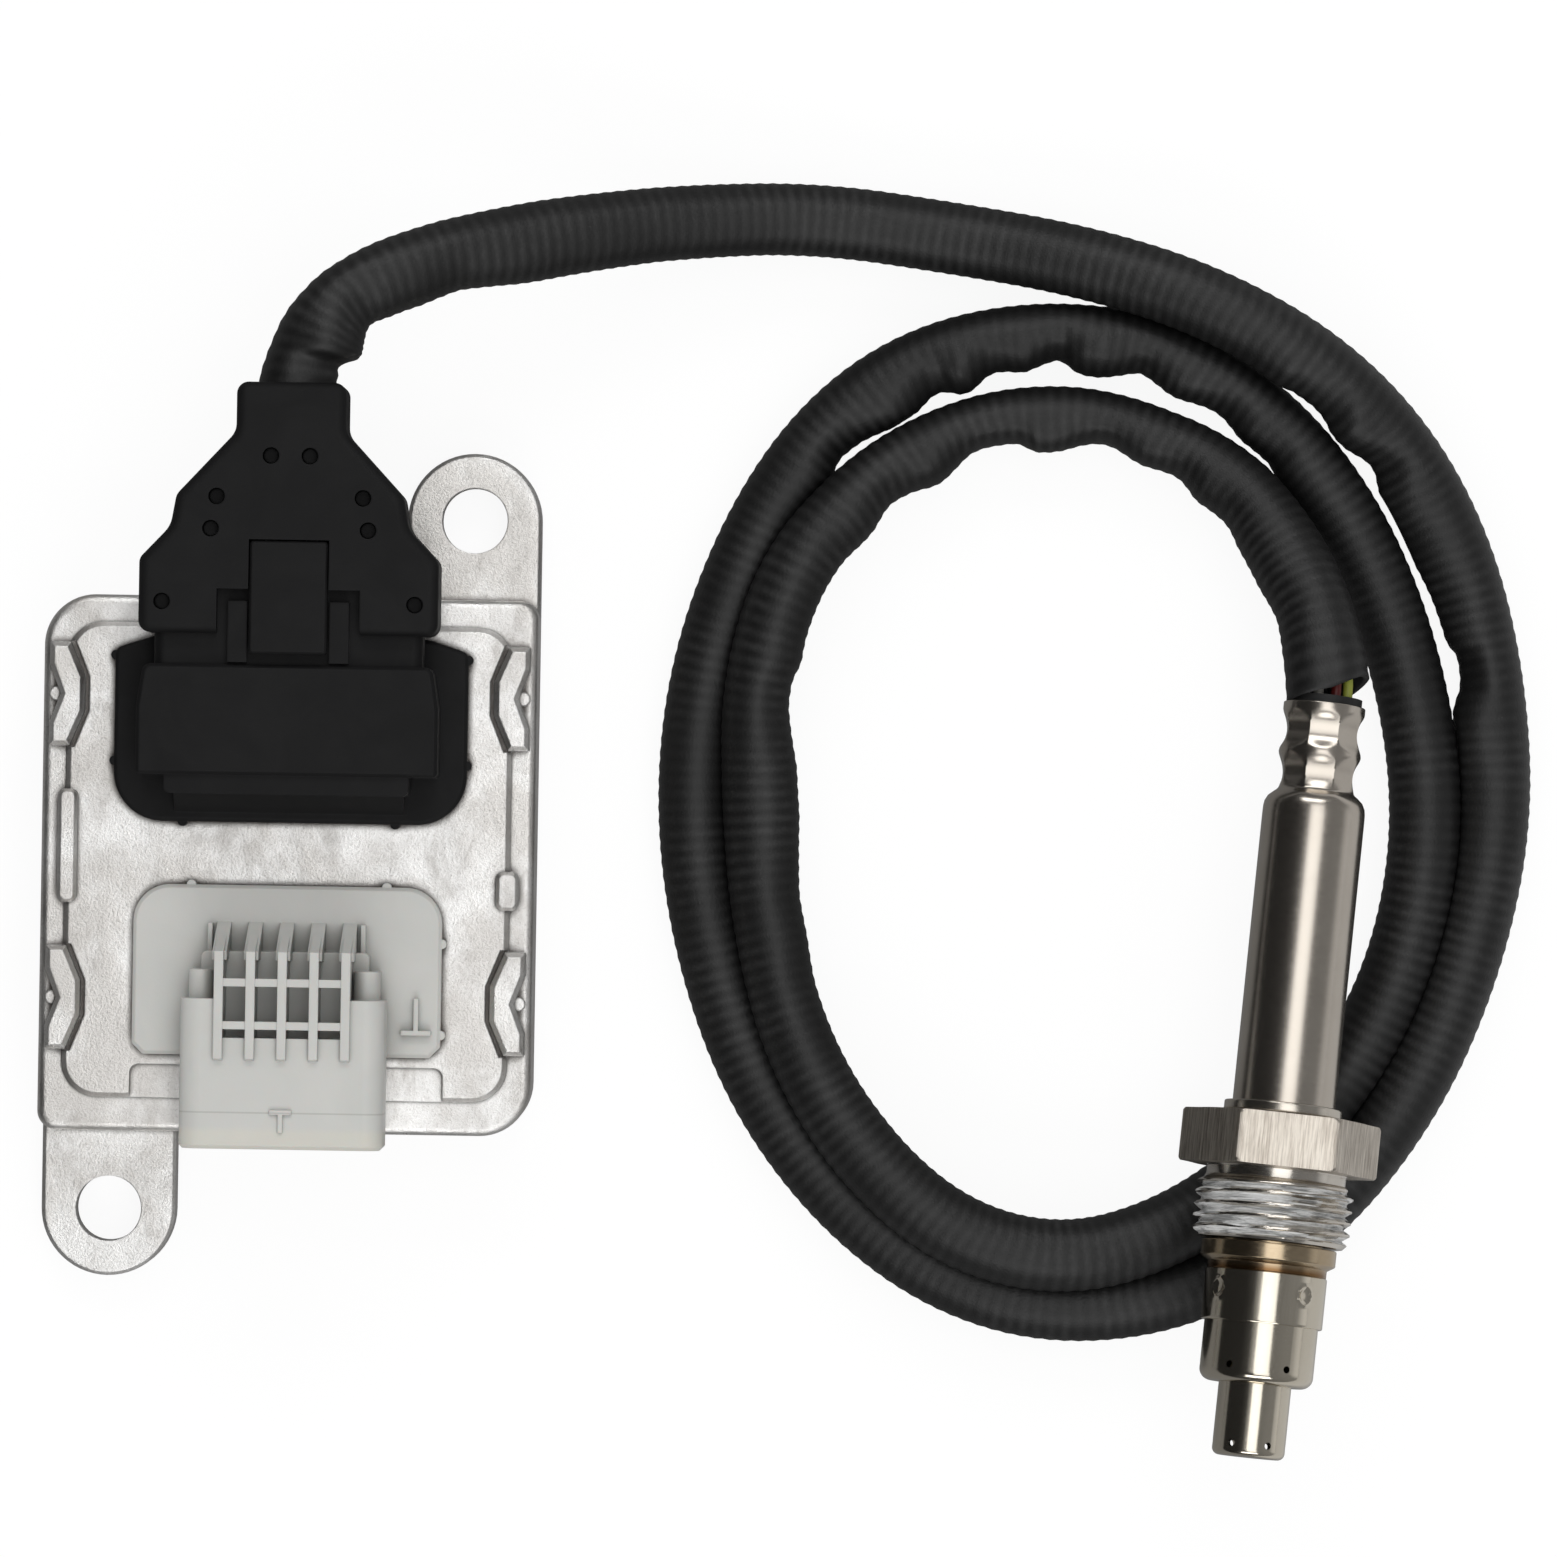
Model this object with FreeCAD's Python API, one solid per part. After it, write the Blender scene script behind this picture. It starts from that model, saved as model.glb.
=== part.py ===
import FreeCAD, Part
import math
import os

# Nitrogen oxide sensor for an exhaust line: a die-cast control module with two plug
# headers, a sleeved cable, and a screw-in probe that lies across the cable's own coil.
# Millimetres. +Z up out of the module's lid, +Y towards the cable plug. The origin is
# midway between the two mounting holes, on the face that is bolted down.

V = FreeCAD.Vector

# Mounting ears
HOLE_X = 22.8
HOLE_Y = 44.5
HOLE_R = 4.2
EAR_R = 8.6
EAR_T = 4.6

# Die-cast housing
BODY_HALF_X = HOLE_X + EAR_R
BODY_HALF_Y = 34.1
BODY_H = 15.0
BODY_WALL = 2.7
LID_T = 2.4
CORNER_R = 6.5
EAR_CORNER_R = 2.4
EDGE_R = 1.1
SMALL_EDGE = 0.45
SINK = 0.5
FIELD_HALF_X = 28.3
FIELD_Y0 = -29.8
FIELD_Y1 = 30.6
FIELD_RISE = 1.0
FIELD_R = 4.5
NOTCH_RISE = 0.45
FIELD_DRAFT = 0.6
FIELD_NOTCH_HALF = 19.9
RELIEF_RISE = 1.1
RELIEF_DRAFT = 0.6
CHEVRON_POINT_X = 26.05
CHEVRON_TIP_X = 27.9
CHEVRON_NOTCH_X = 29.1
CHEVRON_BACK_X = 30.5
CHEVRON_HALF = 6.55
CHEVRON_POINT_HALF = 2.2
CHEVRON_NOTCH_HALF = 3.7
CHEVRON_NUB_R = 0.8
GROOVE_W = 0.6
GROOVE_DEPTH = 0.6
GROOVE_OVER = 0.3

# Base plate, sealed into a rabbet round the bottom of the housing
PLATE_T = 1.5
PLATE_INSET = 0.2
RABBET_W = 1.2
SEAL_T = 0.5
SEAL_W = 0.9

# Circuit board and what stands on it
BOARD_Z = 5.0
BOARD_T = 1.6
BOARD_GAP = 0.8
POST_R = 2.6
SCREW_R = 1.25
SCREW_HEAD_R = 2.3
SCREW_HEAD_H = 1.4
SCREW_SHORT = 1.5
CAN_R = 3.6
CAN_GAP = 0.6

# Levels that everything on the lid stands on
FIELD_TOP = BODY_H + FIELD_RISE
RELIEF_TOP = FIELD_TOP + RELIEF_RISE
CAVITY_TOP = BODY_H - LID_T
FLANGE_T = 2.0
FLANGE_TOP = FIELD_TOP + FLANGE_T

# Both plug headers sit on one centre line
LINK_X = 0.3
SEAL_GROOVE = 0.7
GASKET_W = 1.4
PLUG_AXIS_RISE = 7.4
PLUG_AXIS_Z = FIELD_TOP + PLUG_AXIS_RISE
OPENING_GAP = 0.3
NUB_R = 0.6

# Sensor-side header (black)
S_FLANGE_HALF = 22.4
S_FLANGE_Y0 = 5.4
S_FLANGE_Y1 = 28.9
S_BLOCK_HALF = 19.0
S_BLOCK_Y0 = 11.4
S_BLOCK_Y1 = 25.3
S_BLOCK_RISE = 5.2
S_BLOCK_TOP = PLUG_AXIS_Z + S_BLOCK_RISE
S_STEP_HALF = 15.4
S_STEP_Y0 = 9.0
S_CAVITY_HALF = 17.1
S_CAVITY_H = 8.0
S_CAVITY_Y0 = 13.0
S_RAMP_H = 3.0
S_NECK_HALF = 14.0
S_NECK_Y0 = 7.6
S_NECK_Y1 = 23.4

# Mating plug on the cable
FIT = 0.15
PIN_W = 0.9
BARREL_END_Y = 30.0
TERMINAL_W = 2.2
TERMINAL_GAP = 0.1
PIN_PITCH_X = 6.0
PIN_PITCH_Z = 3.4
PLUG_Y0 = 13.6
PLUG_Y1 = 30.2
PLUG_TAIL_Y = 36.0
PLUG_TAIL_HALF = 14.4
PLUG_NOSE_IN = 0.9
RAIL_X = 6.4
RAIL_W = 2.45
RAIL_END_Y = 33.3
RAIL_TOP = S_BLOCK_TOP
RAIL_GAP = 0.3
TONGUE_HALF = 4.9
TONGUE_Y0 = 26.7
TONGUE_Y1 = 40.9
TONGUE_RISE = 4.4
TONGUE_Z = PLUG_AXIS_Z + TONGUE_RISE

# Backshell over the plug, in two halves
SHELL_HALF_H = 6.5
SHELL_Z0 = PLUG_AXIS_Z - SHELL_HALF_H
SHELL_Z1 = PLUG_AXIS_Z + SHELL_HALF_H
SHELL_WALL = 1.6
SHELL_EDGE_R = 1.3
SHELL_HALF = 18.85
SHELL_Y0 = 29.2
NECK_Y0 = 54.6
NECK_Y1 = 60.9
NECK_HALF = 6.9
WINDOW_HALF = 9.0
WINDOW_Y = 34.8
CABLE_STOP_Y = 57.6
SHELL_PIN_R = 0.95
SHELL_PIN_PLACES = ((2.45, 51.6), (9.2, 46.4), (9.9, 42.35), (15.9, 33.1))

# Vehicle-side header (grey)
V_FLANGE_HALF = 19.6
V_FLANGE_Y0 = -24.2
V_FLANGE_Y1 = -2.6
V_SHROUD_HALF = 12.9
V_CORNER_CUT = 1.4
V_SHROUD_RISE = 1.0
V_SHROUD_H = 11.4
V_SHROUD_Z0 = FIELD_TOP + V_SHROUD_RISE
V_SHROUD_Z1 = V_SHROUD_Z0 + V_SHROUD_H
V_SHROUD_Y0 = -35.7
V_SHROUD_Y1 = -16.8
V_SHROUD_WALL = 1.6
V_SOCKET_DEPTH = 13.5
V_BACK_HALF = 10.6
V_BACK_Y1 = -10.9
V_BACK_H = 4.6
V_BACK_TOP = FLANGE_TOP + V_BACK_H
V_NECK_HALF = 11.5
V_NECK_Y0 = -21.0
V_NECK_Y1 = -6.0
HUMP_X = 10.4
HUMP_R = 1.6
HUMP_Y1 = -13.2
HUMP_RISE = 7.2
RIB_COUNT = 5
RIB_PITCH = 4.0
RIB_T = 1.15
RIB_RISE = 0.8
RIB_TOP = V_SHROUD_Z1 + RIB_RISE
RIB_FOOT_W = 1.8
RIB_FOOT_DROP = 1.4
FOOT_WALL_X = 9.7
FOOT_WALL_H = 1.8
MARK_X = 16.5
MARK_RISE = 0.9
RIB_Y0 = -24.9
RIB_Y1 = -10.8
RIB_FOOT_Y = -7.4
BAR_PLACES = (-14.7, -20.1)
BAR_W = 1.0
V_PIN_COUNT = 5
V_PIN_PITCH = 4.0
V_PIN_W = 1.5
V_PIN_T = 0.8
V_PIN_RISE = 5.0
V_PIN_DROP_Y = -12.7

# Cable
CABLE_D = 9.0
LEAD_D = 1.3
LEAD_COUNT = 8
LEAD_RING_R = 2.9
LEAD_WAY_STEP = 0.3
LEAD_ROOM_END_Y = 56.0
INNER_LEAD_X = 0.72
INNER_LEAD_BEND_Y = 49.0

# The cable's route from the plug to the probe, as it lies in the photo: over the top in
# one arc, then twice round clockwise, each turn inside the last, and up to the probe
CABLE_ROUTE = (
    (LINK_X, CABLE_STOP_Y, PLUG_AXIS_Z), (LINK_X, 64, PLUG_AXIS_Z), (2.8, 70.8, 23), (8.6, 75.3, 21.9),
    (18.5, 78.3, 19.2), (33, 81.8, 14), (50, 84, 8.5), (66.5, 84.5, 5),
    (83, 82.5, 4.5), (100, 79.5, 6.7), (116, 74.5, 9.3), (131, 66.5, 8.6),
    (142.5, 55.5, 5.5), (150, 41.5, 4.5), (154, 25, 4.5), (155.5, 7.5, 4.5),
    (152, -10.5, 4.5), (144.5, -28, 4.5), (132.5, -43.5, 4.5), (117, -53.5, 4.5),
    (100, -56.5, 4.5), (84.5, -53, 4.5), (70.5, -43, 4.5), (60, -28, 4.5),
    (53.5, -10, 4.5), (50.5, 8.5, 4.5), (52, 27, 4.5), (57.5, 45.5, 4.5),
    (67, 59.5, 4.5), (80, 67.5, 4.5), (95.5, 70, 4.5), (111, 68, 4.5),
    (125.5, 60, 4.5), (136, 46.5, 4.5), (142.5, 29.5, 4.5), (145.5, 10.5, 4.5),
    (143, -7.5, 4.5), (136.5, -23, 4.5), (125.5, -36.5, 4.5), (113, -44, 4.5),
    (100, -46.5, 4.5), (87.5, -43, 4.5), (76.5, -34.5, 4.5), (68, -22, 4.5),
    (63, -7, 4.5), (60.5, 9, 4.5), (61.5, 24, 4.5), (65, 38, 4.5),
    (71.5, 49.5, 4.5), (80.5, 57, 4.5), (92, 60, 4.5), (104, 58.5, 4.5),
    (117, 52, 5.5), (126, 42, 9.5), (131, 31.7, 15.5), (131.75, 25.4, 17.2),
)

# Probe: where its rear rim is, which way it points, and its height over the coil
PROBE_REAR = (131.5, 22.5)
PROBE_AIM = 5.2
PROBE_TILT = 5.0
PROBE_REAR_Z = 17.5
NUT_TURN = -6.2

# Probe stations along its axis, from the rear rim to the tip
SLEEVE_R = 6.5
SLEEVE_T = 0.5
RIM_R = 5.2
WAIST_R = 4.9
CRIMP_PLACES = (3.5, 9.1)
CRIMP_R = 4.35
CRIMP_JAW_R = 3.4
CRIMP_JAWS = 8
WAIST_END = 11.0
SHOULDER = 13.5
SLEEVE_END = 51.1
RING_T = 1.3
RING_R = 7.5
NUT_PLAY = 0.2
HEX_AF = 22.0
HEX_T = 6.8
HEX_FACE_R = 11.8
HEX_CHAMFER = 1.1
NECK_RELIEF_R = 8.85
NECK_RELIEF_T = 1.4
THREAD_R = 10.0
THREAD_L = 7.9
THREAD_CHAMFER = 0.9
JOURNAL_R = 6.75
NUT_CLEARANCE = 0.05
SEAT_R = 8.55
SEAT_T = 2.0
SEAT_TAPER = 0.6
COLLAR_R = 7.55
COLLAR_T = 1.0
SPIGOT_R = 7.2
SPIGOT_L = 3.0
SHELL_BORE_R = 4.6
SHELL_REAR = 44.0
CARRIER_R = 7.7
CARRIER_L = 6.5
OUTER_TUBE_R = 7.2
OUTER_TUBE_END = 86.6
TUBE_T = 0.5
TIP_TUBE_R = 4.6
TIP_END = 95.8
VENT_R = 0.45
VENT_TURN = 2.0
OUTER_VENT_BACK = 2.1
TIP_VENT_BACK = 1.6
GROMMET_OUT = 1.0
GROMMET_IN = 10.6

# Ceramic element and its packing
ELEMENT_W = 4.0
ELEMENT_T = 1.3
ELEMENT_REAR = 22.0
ELEMENT_TIP = 91.0
HOLDER_Z0 = 15.8
HOLDER_Z1 = 31.0
SPRING_T = 0.5
SPRING_W = 0.6
SPRING_PITCH = 0.95


def box(x0, x1, y0, y1, z0, z1):
    """Block between two corners."""
    return Part.makeBox(x1 - x0, y1 - y0, z1 - z0, V(x0, y0, z0))


def rod(radius, start, end):
    """Round bar from one point to another."""
    axis = V(*end) - V(*start)
    return Part.makeCylinder(radius, axis.Length, V(*start), axis)


def outline(corners):
    """Closed wire through (x, y, radius) corners, each rounded to its radius."""
    count = len(corners)
    edges = []
    starts = []
    ends = []
    for i in range(count):
        here = V(corners[i][0], corners[i][1], 0)
        before = V(corners[i - 1][0], corners[i - 1][1], 0) - here
        after = V(corners[(i + 1) % count][0], corners[(i + 1) % count][1], 0) - here
        before.normalize()
        after.normalize()
        radius = corners[i][2]
        if radius:
            half = before.getAngle(after) / 2
            reach = radius / math.tan(half)
            mid = before + after
            mid.normalize()
            centre = here + mid * (radius / math.sin(half))
            first = here + before * reach
            last = here + after * reach
            edges.append(Part.Arc(first, centre - mid * radius, last).toShape())
        else:
            first = here
            last = here
        starts.append(first)
        ends.append(last)
    for i in range(count):
        nearby = starts[(i + 1) % count]
        if ends[i].distanceToPoint(nearby) > 1e-6:
            edges.append(Part.makeLine(ends[i], nearby))
    return Part.Wire(Part.__sortEdges__(edges))


def slab(corners, z0, z1):
    """Outline of rounded corners, standing from z0 to z1."""
    face = Part.Face(outline(corners))
    face.translate(V(0, 0, z0))
    return face.extrude(V(0, 0, z1 - z0))


def rounded(x0, x1, y0, y1, radius, z0, z1):
    """Upright block with its four vertical edges rounded."""
    corners = ((x0, y0, radius), (x1, y0, radius), (x1, y1, radius), (x0, y1, radius))
    return slab(corners, z0, z1)


def tunnel(x0, x1, z0, z1, radius, y0, y1):
    """Rounded rectangle across X and Z, run along Y."""
    flat = rounded(x0, x1, -z1, -z0, radius, y0, y1)
    flat.rotate(V(0, 0, 0), V(1, 0, 0), -90)
    return flat


def soften(shape, radius, wanted):
    """Round the edges that the test picks out."""
    edges = [edge for edge in shape.Edges if wanted(edge)]
    return shape.makeFillet(radius, edges)


def bevel(shape, size, wanted):
    """Chamfer the edges that the test picks out."""
    edges = [edge for edge in shape.Edges if wanted(edge)]
    return shape.makeChamfer(size, edges)


def lies_at(edge, z):
    """True for an edge that lies all in one level."""
    bounds = edge.BoundBox
    return abs(bounds.ZMin - z) < 0.01 and abs(bounds.ZMax - z) < 0.01


def joined(shapes):
    """One solid from shapes that meet, with the seams cleaned away."""
    return shapes[0].fuse(list(shapes[1:])).removeSplitter()


CAVITY_HALF_X = BODY_HALF_X - BODY_WALL
CAVITY_HALF_Y = BODY_HALF_Y - BODY_WALL
PLATE_TOP = PLATE_INSET + PLATE_T
BOARD_TOP = BOARD_Z + BOARD_T
BOARD_HALF_X = CAVITY_HALF_X - BOARD_GAP
BOARD_HALF_Y = CAVITY_HALF_Y - BOARD_GAP
POST_X = BOARD_HALF_X - POST_R
POST_Y = BOARD_HALF_Y - POST_R
POSTS = [(sx * POST_X, sy * POST_Y) for sx in (-1, 1) for sy in (-1, 1)]
POST_H = CAVITY_TOP - BOARD_TOP
SCREW_BITE = POST_H - SCREW_SHORT


def ear(side):
    """One mounting ear, reaching back into the housing."""
    x = side * HOLE_X
    y = side * HOLE_Y
    tab = box(x - EAR_R, x + EAR_R, min(0.6 * y, y), max(0.6 * y, y), 0, EAR_T)
    lug = joined([tab, Part.makeCylinder(EAR_R, EAR_T, V(x, y, 0))])
    return bevel(lug, SMALL_EDGE, lambda edge: lies_at(edge, EAR_T))


def chevron(side, middle):
    """Raised arrowhead on the edge of the lid, its point towards the middle."""
    points = ((CHEVRON_BACK_X, CHEVRON_HALF), (CHEVRON_TIP_X, CHEVRON_HALF),
              (CHEVRON_POINT_X, CHEVRON_POINT_HALF), (CHEVRON_POINT_X, -CHEVRON_POINT_HALF),
              (CHEVRON_TIP_X, -CHEVRON_HALF), (CHEVRON_BACK_X, -CHEVRON_HALF),
              (CHEVRON_BACK_X, -CHEVRON_NOTCH_HALF), (CHEVRON_NOTCH_X, 0),
              (CHEVRON_BACK_X, CHEVRON_NOTCH_HALF))
    corners = [(side * x, middle + y, 0) for x, y in points]
    mark = slab(corners, BODY_H - SINK, RELIEF_TOP)
    mark = bevel(mark, RELIEF_DRAFT, lambda edge: lies_at(edge, RELIEF_TOP))
    nub = Part.makeCylinder(CHEVRON_NUB_R, FIELD_TOP - BODY_H + SINK,
                            V(side * (CHEVRON_BACK_X - CHEVRON_NUB_R), middle, BODY_H - SINK))
    return mark.fuse(nub)


def chevron_groove(side, middle):
    """Narrow groove in the raised field along the inner side of a chevron."""
    edge = CHEVRON_POINT_X - GROOVE_W
    tip = CHEVRON_TIP_X - GROOVE_W
    reach = CHEVRON_HALF + GROOVE_OVER
    points = ((tip, reach), (edge, CHEVRON_POINT_HALF), (edge, -CHEVRON_POINT_HALF), (tip, -reach),
              (CHEVRON_NOTCH_X, -reach), (CHEVRON_NOTCH_X, reach))
    corners = [(side * x, middle + y, 0) for x, y in points]
    return slab(corners, FIELD_TOP - GROOVE_DEPTH, FIELD_TOP + GROOVE_DEPTH)


CHEVRONS = ((-1, 21.4), (1, 21.6), (-1, -17.2), (1, -17.2))


def base_plate_slab(grow, z0, z1):
    """The base plate's outline, grown all round."""
    half_x = CAVITY_HALF_X + RABBET_W + grow
    half_y = CAVITY_HALF_Y + RABBET_W + grow
    return rounded(-half_x, half_x, -half_y, half_y, 3.0 + grow, z0, z1)


def make_housing():
    """Die-cast housing: box, ears, raised lid, chevrons, posts and openings."""
    h = BODY_HALF_X
    v = BODY_HALF_Y
    corners = ((-h, -v, EAR_CORNER_R), (h, -v, CORNER_R), (h, v, EAR_CORNER_R), (-h, v, CORNER_R))
    body = slab(corners, 0, BODY_H)
    body = soften(body, EDGE_R, lambda edge: lies_at(edge, BODY_H))
    field = rounded(-FIELD_HALF_X, FIELD_HALF_X, FIELD_Y0, FIELD_Y1, FIELD_R, BODY_H - SINK, FIELD_TOP)
    field = bevel(field, FIELD_DRAFT, lambda edge: lies_at(edge, FIELD_TOP))
    notch = rounded(LINK_X - FIELD_NOTCH_HALF, LINK_X + FIELD_NOTCH_HALF, FIELD_Y0 - 2, FIELD_Y0 + 4.3, 1.2,
                    BODY_H + NOTCH_RISE, FIELD_TOP + 1)
    field = field.cut(notch)
    for side, middle in CHEVRONS:
        field = field.cut(chevron_groove(side, middle))
    marks = [chevron(side, middle) for side, middle in CHEVRONS]
    for x0, x1, y0, y1 in ((-29.2, -26.7, -5.1, 9.3), (26.6, 29.5, -5.3, -0.4)):
        rib = rounded(x0, x1, y0, y1, 1.0, BODY_H - SINK, RELIEF_TOP)
        marks.append(bevel(rib, SMALL_EDGE, lambda edge: lies_at(edge, RELIEF_TOP)))
    shape = joined([body, field, ear(1), ear(-1)] + marks)
    cavity = rounded(-CAVITY_HALF_X, CAVITY_HALF_X, -CAVITY_HALF_Y, CAVITY_HALF_Y, 2.5, -1, CAVITY_TOP)
    shape = shape.cut(cavity)
    shape = shape.cut(base_plate_slab(FIT, -1, PLATE_TOP))
    shape = shape.cut(seal_ring(PLATE_TOP, PLATE_TOP + SEAL_T))
    posts = []
    for x, y in POSTS:
        post = Part.makeCylinder(POST_R, POST_H + SINK, V(x, y, BOARD_TOP))
        posts.append(post.cut(Part.makeCylinder(SCREW_R, SCREW_BITE + SINK, V(x, y, BOARD_TOP))))
    shape = joined([shape] + posts)
    for side in (-1, 1):
        hole = Part.makeCylinder(HOLE_R, EAR_T + 2, V(side * HOLE_X, side * HOLE_Y, -1))
        shape = shape.cut(hole)
    shape = shape.cut(sensor_opening(OPENING_GAP))
    return shape.cut(vehicle_opening(OPENING_GAP))


def seal_ring(z0, z1):
    """Bead of sealant between the base plate and the housing's shoulder."""
    outer = base_plate_slab(-0.1, z0, z1)
    inner = base_plate_slab(-0.1 - SEAL_W, z0, z1)
    return outer.cut(inner)


def sensor_opening(grow):
    """Neck of the black header where it goes through the lid."""
    half = S_NECK_HALF + grow
    return rounded(LINK_X - half, LINK_X + half, S_NECK_Y0 - grow, S_NECK_Y1 + grow, 2.0 + grow,
                   CAVITY_TOP - 1.0, FIELD_TOP)


def vehicle_opening(grow):
    """Neck of the grey header where it goes through the lid."""
    half = V_NECK_HALF + grow
    return rounded(LINK_X - half, LINK_X + half, V_NECK_Y0 - grow, V_NECK_Y1 + grow, 2.0 + grow,
                   CAVITY_TOP - 1.0, FIELD_TOP)


def gasket(half, y0, y1, z1):
    """Flat gasket that runs round under a header's flange."""
    outer = rounded(LINK_X - half, LINK_X + half, y0, y1, 3.0, FIELD_TOP, z1)
    inner = rounded(LINK_X - half + GASKET_W, LINK_X + half - GASKET_W, y0 + GASKET_W, y1 - GASKET_W,
                    3.0 - GASKET_W / 2, FIELD_TOP, z1)
    return outer.cut(inner)


def sensor_gasket():
    """Gasket under the black header."""
    return gasket(S_FLANGE_HALF - 3.4, S_FLANGE_Y0 + 0.6, S_FLANGE_Y1 - 3.4, FIELD_TOP + SEAL_GROOVE)


def vehicle_gasket():
    """Gasket under the grey header."""
    return gasket(V_FLANGE_HALF - 3.0, V_FLANGE_Y0 + 1.2, V_FLANGE_Y1 - 1.2, FIELD_TOP + SEAL_GROOVE)


SENSOR_ROWS = (PLUG_AXIS_Z - PIN_PITCH_Z / 2, PLUG_AXIS_Z + PIN_PITCH_Z / 2)
SENSOR_COLUMNS = [LINK_X + (i - 1.5) * PIN_PITCH_X for i in range(4)]
PIN_TAIL_Z = BOARD_Z - 0.7


def angle_pin(x, z, y_tip, y_drop, width, thickness):
    """Right-angled pin: a blade along Y that turns down through the board."""
    low = min(y_tip, y_drop - thickness / 2)
    high = max(y_tip, y_drop + thickness / 2)
    blade = box(x - width / 2, x + width / 2, low, high, z - thickness / 2, z + thickness / 2)
    tail = box(x - width / 2, x + width / 2, y_drop - thickness / 2, y_drop + thickness / 2,
               PIN_TAIL_Z, z + thickness / 2)
    return joined([blade, tail])


def sensor_pins():
    """Eight pins of the black header, the upper row dropping behind the lower."""
    pins = []
    for row, z in enumerate(SENSOR_ROWS):
        for x in SENSOR_COLUMNS:
            pins.append(angle_pin(x, z, PLUG_Y0 + 6.0, 11.6 - 1.9 * row, PIN_W, PIN_W))
    return pins


def vehicle_pins():
    """Five blades of the grey header."""
    pins = []
    for i in range(V_PIN_COUNT):
        x = LINK_X + (i - (V_PIN_COUNT - 1) / 2) * V_PIN_PITCH
        pins.append(angle_pin(x, FIELD_TOP + V_PIN_RISE, V_SHROUD_Y0 + 4.5, V_PIN_DROP_Y, V_PIN_W, V_PIN_T))
    return pins


def make_sensor_header():
    """Black header: flange, neck through the lid, and a socket open towards the plug."""
    x = LINK_X
    f = S_FLANGE_HALF
    flange = slab(((x - f, S_FLANGE_Y0, 6.3), (x + f, S_FLANGE_Y0, 6.3), (x + f, S_FLANGE_Y1 - 1.6, 1.2),
                   (x + f - 5.0, S_FLANGE_Y1, 3.0), (x - f + 5.0, S_FLANGE_Y1, 3.0),
                   (x - f, S_FLANGE_Y1 - 1.6, 1.2)), FIELD_TOP, FLANGE_TOP)
    flange = bevel(flange, SMALL_EDGE, lambda edge: lies_at(edge, FLANGE_TOP))
    b = S_BLOCK_HALF
    block = slab(((x - b, S_BLOCK_Y0, 0.6), (x + b, S_BLOCK_Y0, 0.6), (x + b, 20.0, 0.6),
                  (x + b - 0.8, S_BLOCK_Y1, 1.2), (x - b + 0.8, S_BLOCK_Y1, 1.2), (x - b, 20.0, 0.6)),
                 FLANGE_TOP - SINK, S_BLOCK_TOP)
    block = bevel(block, SMALL_EDGE, lambda edge: lies_at(edge, S_BLOCK_TOP))
    s = S_STEP_HALF
    step = rounded(x - s, x + s, S_STEP_Y0, S_BLOCK_Y0 + 2, 0.8, FLANGE_TOP - SINK, S_BLOCK_TOP - 0.8)
    profile = ((S_STEP_Y0 + 1, FLANGE_TOP - SINK), (S_FLANGE_Y0 + 1.2, FLANGE_TOP - SINK),
               (S_FLANGE_Y0 + 1.2, FLANGE_TOP), (S_STEP_Y0, FLANGE_TOP + S_RAMP_H),
               (S_STEP_Y0 + 1, FLANGE_TOP + S_RAMP_H), (S_STEP_Y0 + 1, FLANGE_TOP - SINK))
    ramp = Part.Face(Part.makePolygon([V(0, y, z) for y, z in profile])).extrude(V(2 * s - 1.6, 0, 0))
    ramp.translate(V(x - s + 0.8, 0, 0))
    pads = []
    for px, py in ((x - f, 26.4), (x + f, 26.4), (x - f, 13.0), (x + f, 13.0),
                   (x - 13.6, S_FLANGE_Y0), (x + 13.4, S_FLANGE_Y0)):
        pads.append(Part.makeCylinder(NUB_R, FLANGE_T - SMALL_EDGE, V(px, py, FIELD_TOP)))
    shape = joined([flange, block, step, ramp, sensor_opening(0)] + pads)
    socket = tunnel(x - S_CAVITY_HALF, x + S_CAVITY_HALF, PLUG_AXIS_Z - S_CAVITY_H / 2,
                    PLUG_AXIS_Z + S_CAVITY_H / 2, 1.5, S_CAVITY_Y0, S_BLOCK_Y1 + 1)
    shape = shape.cut(socket)
    shape = shape.cut(sensor_gasket())
    return shape.cut(sensor_pins())


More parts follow.
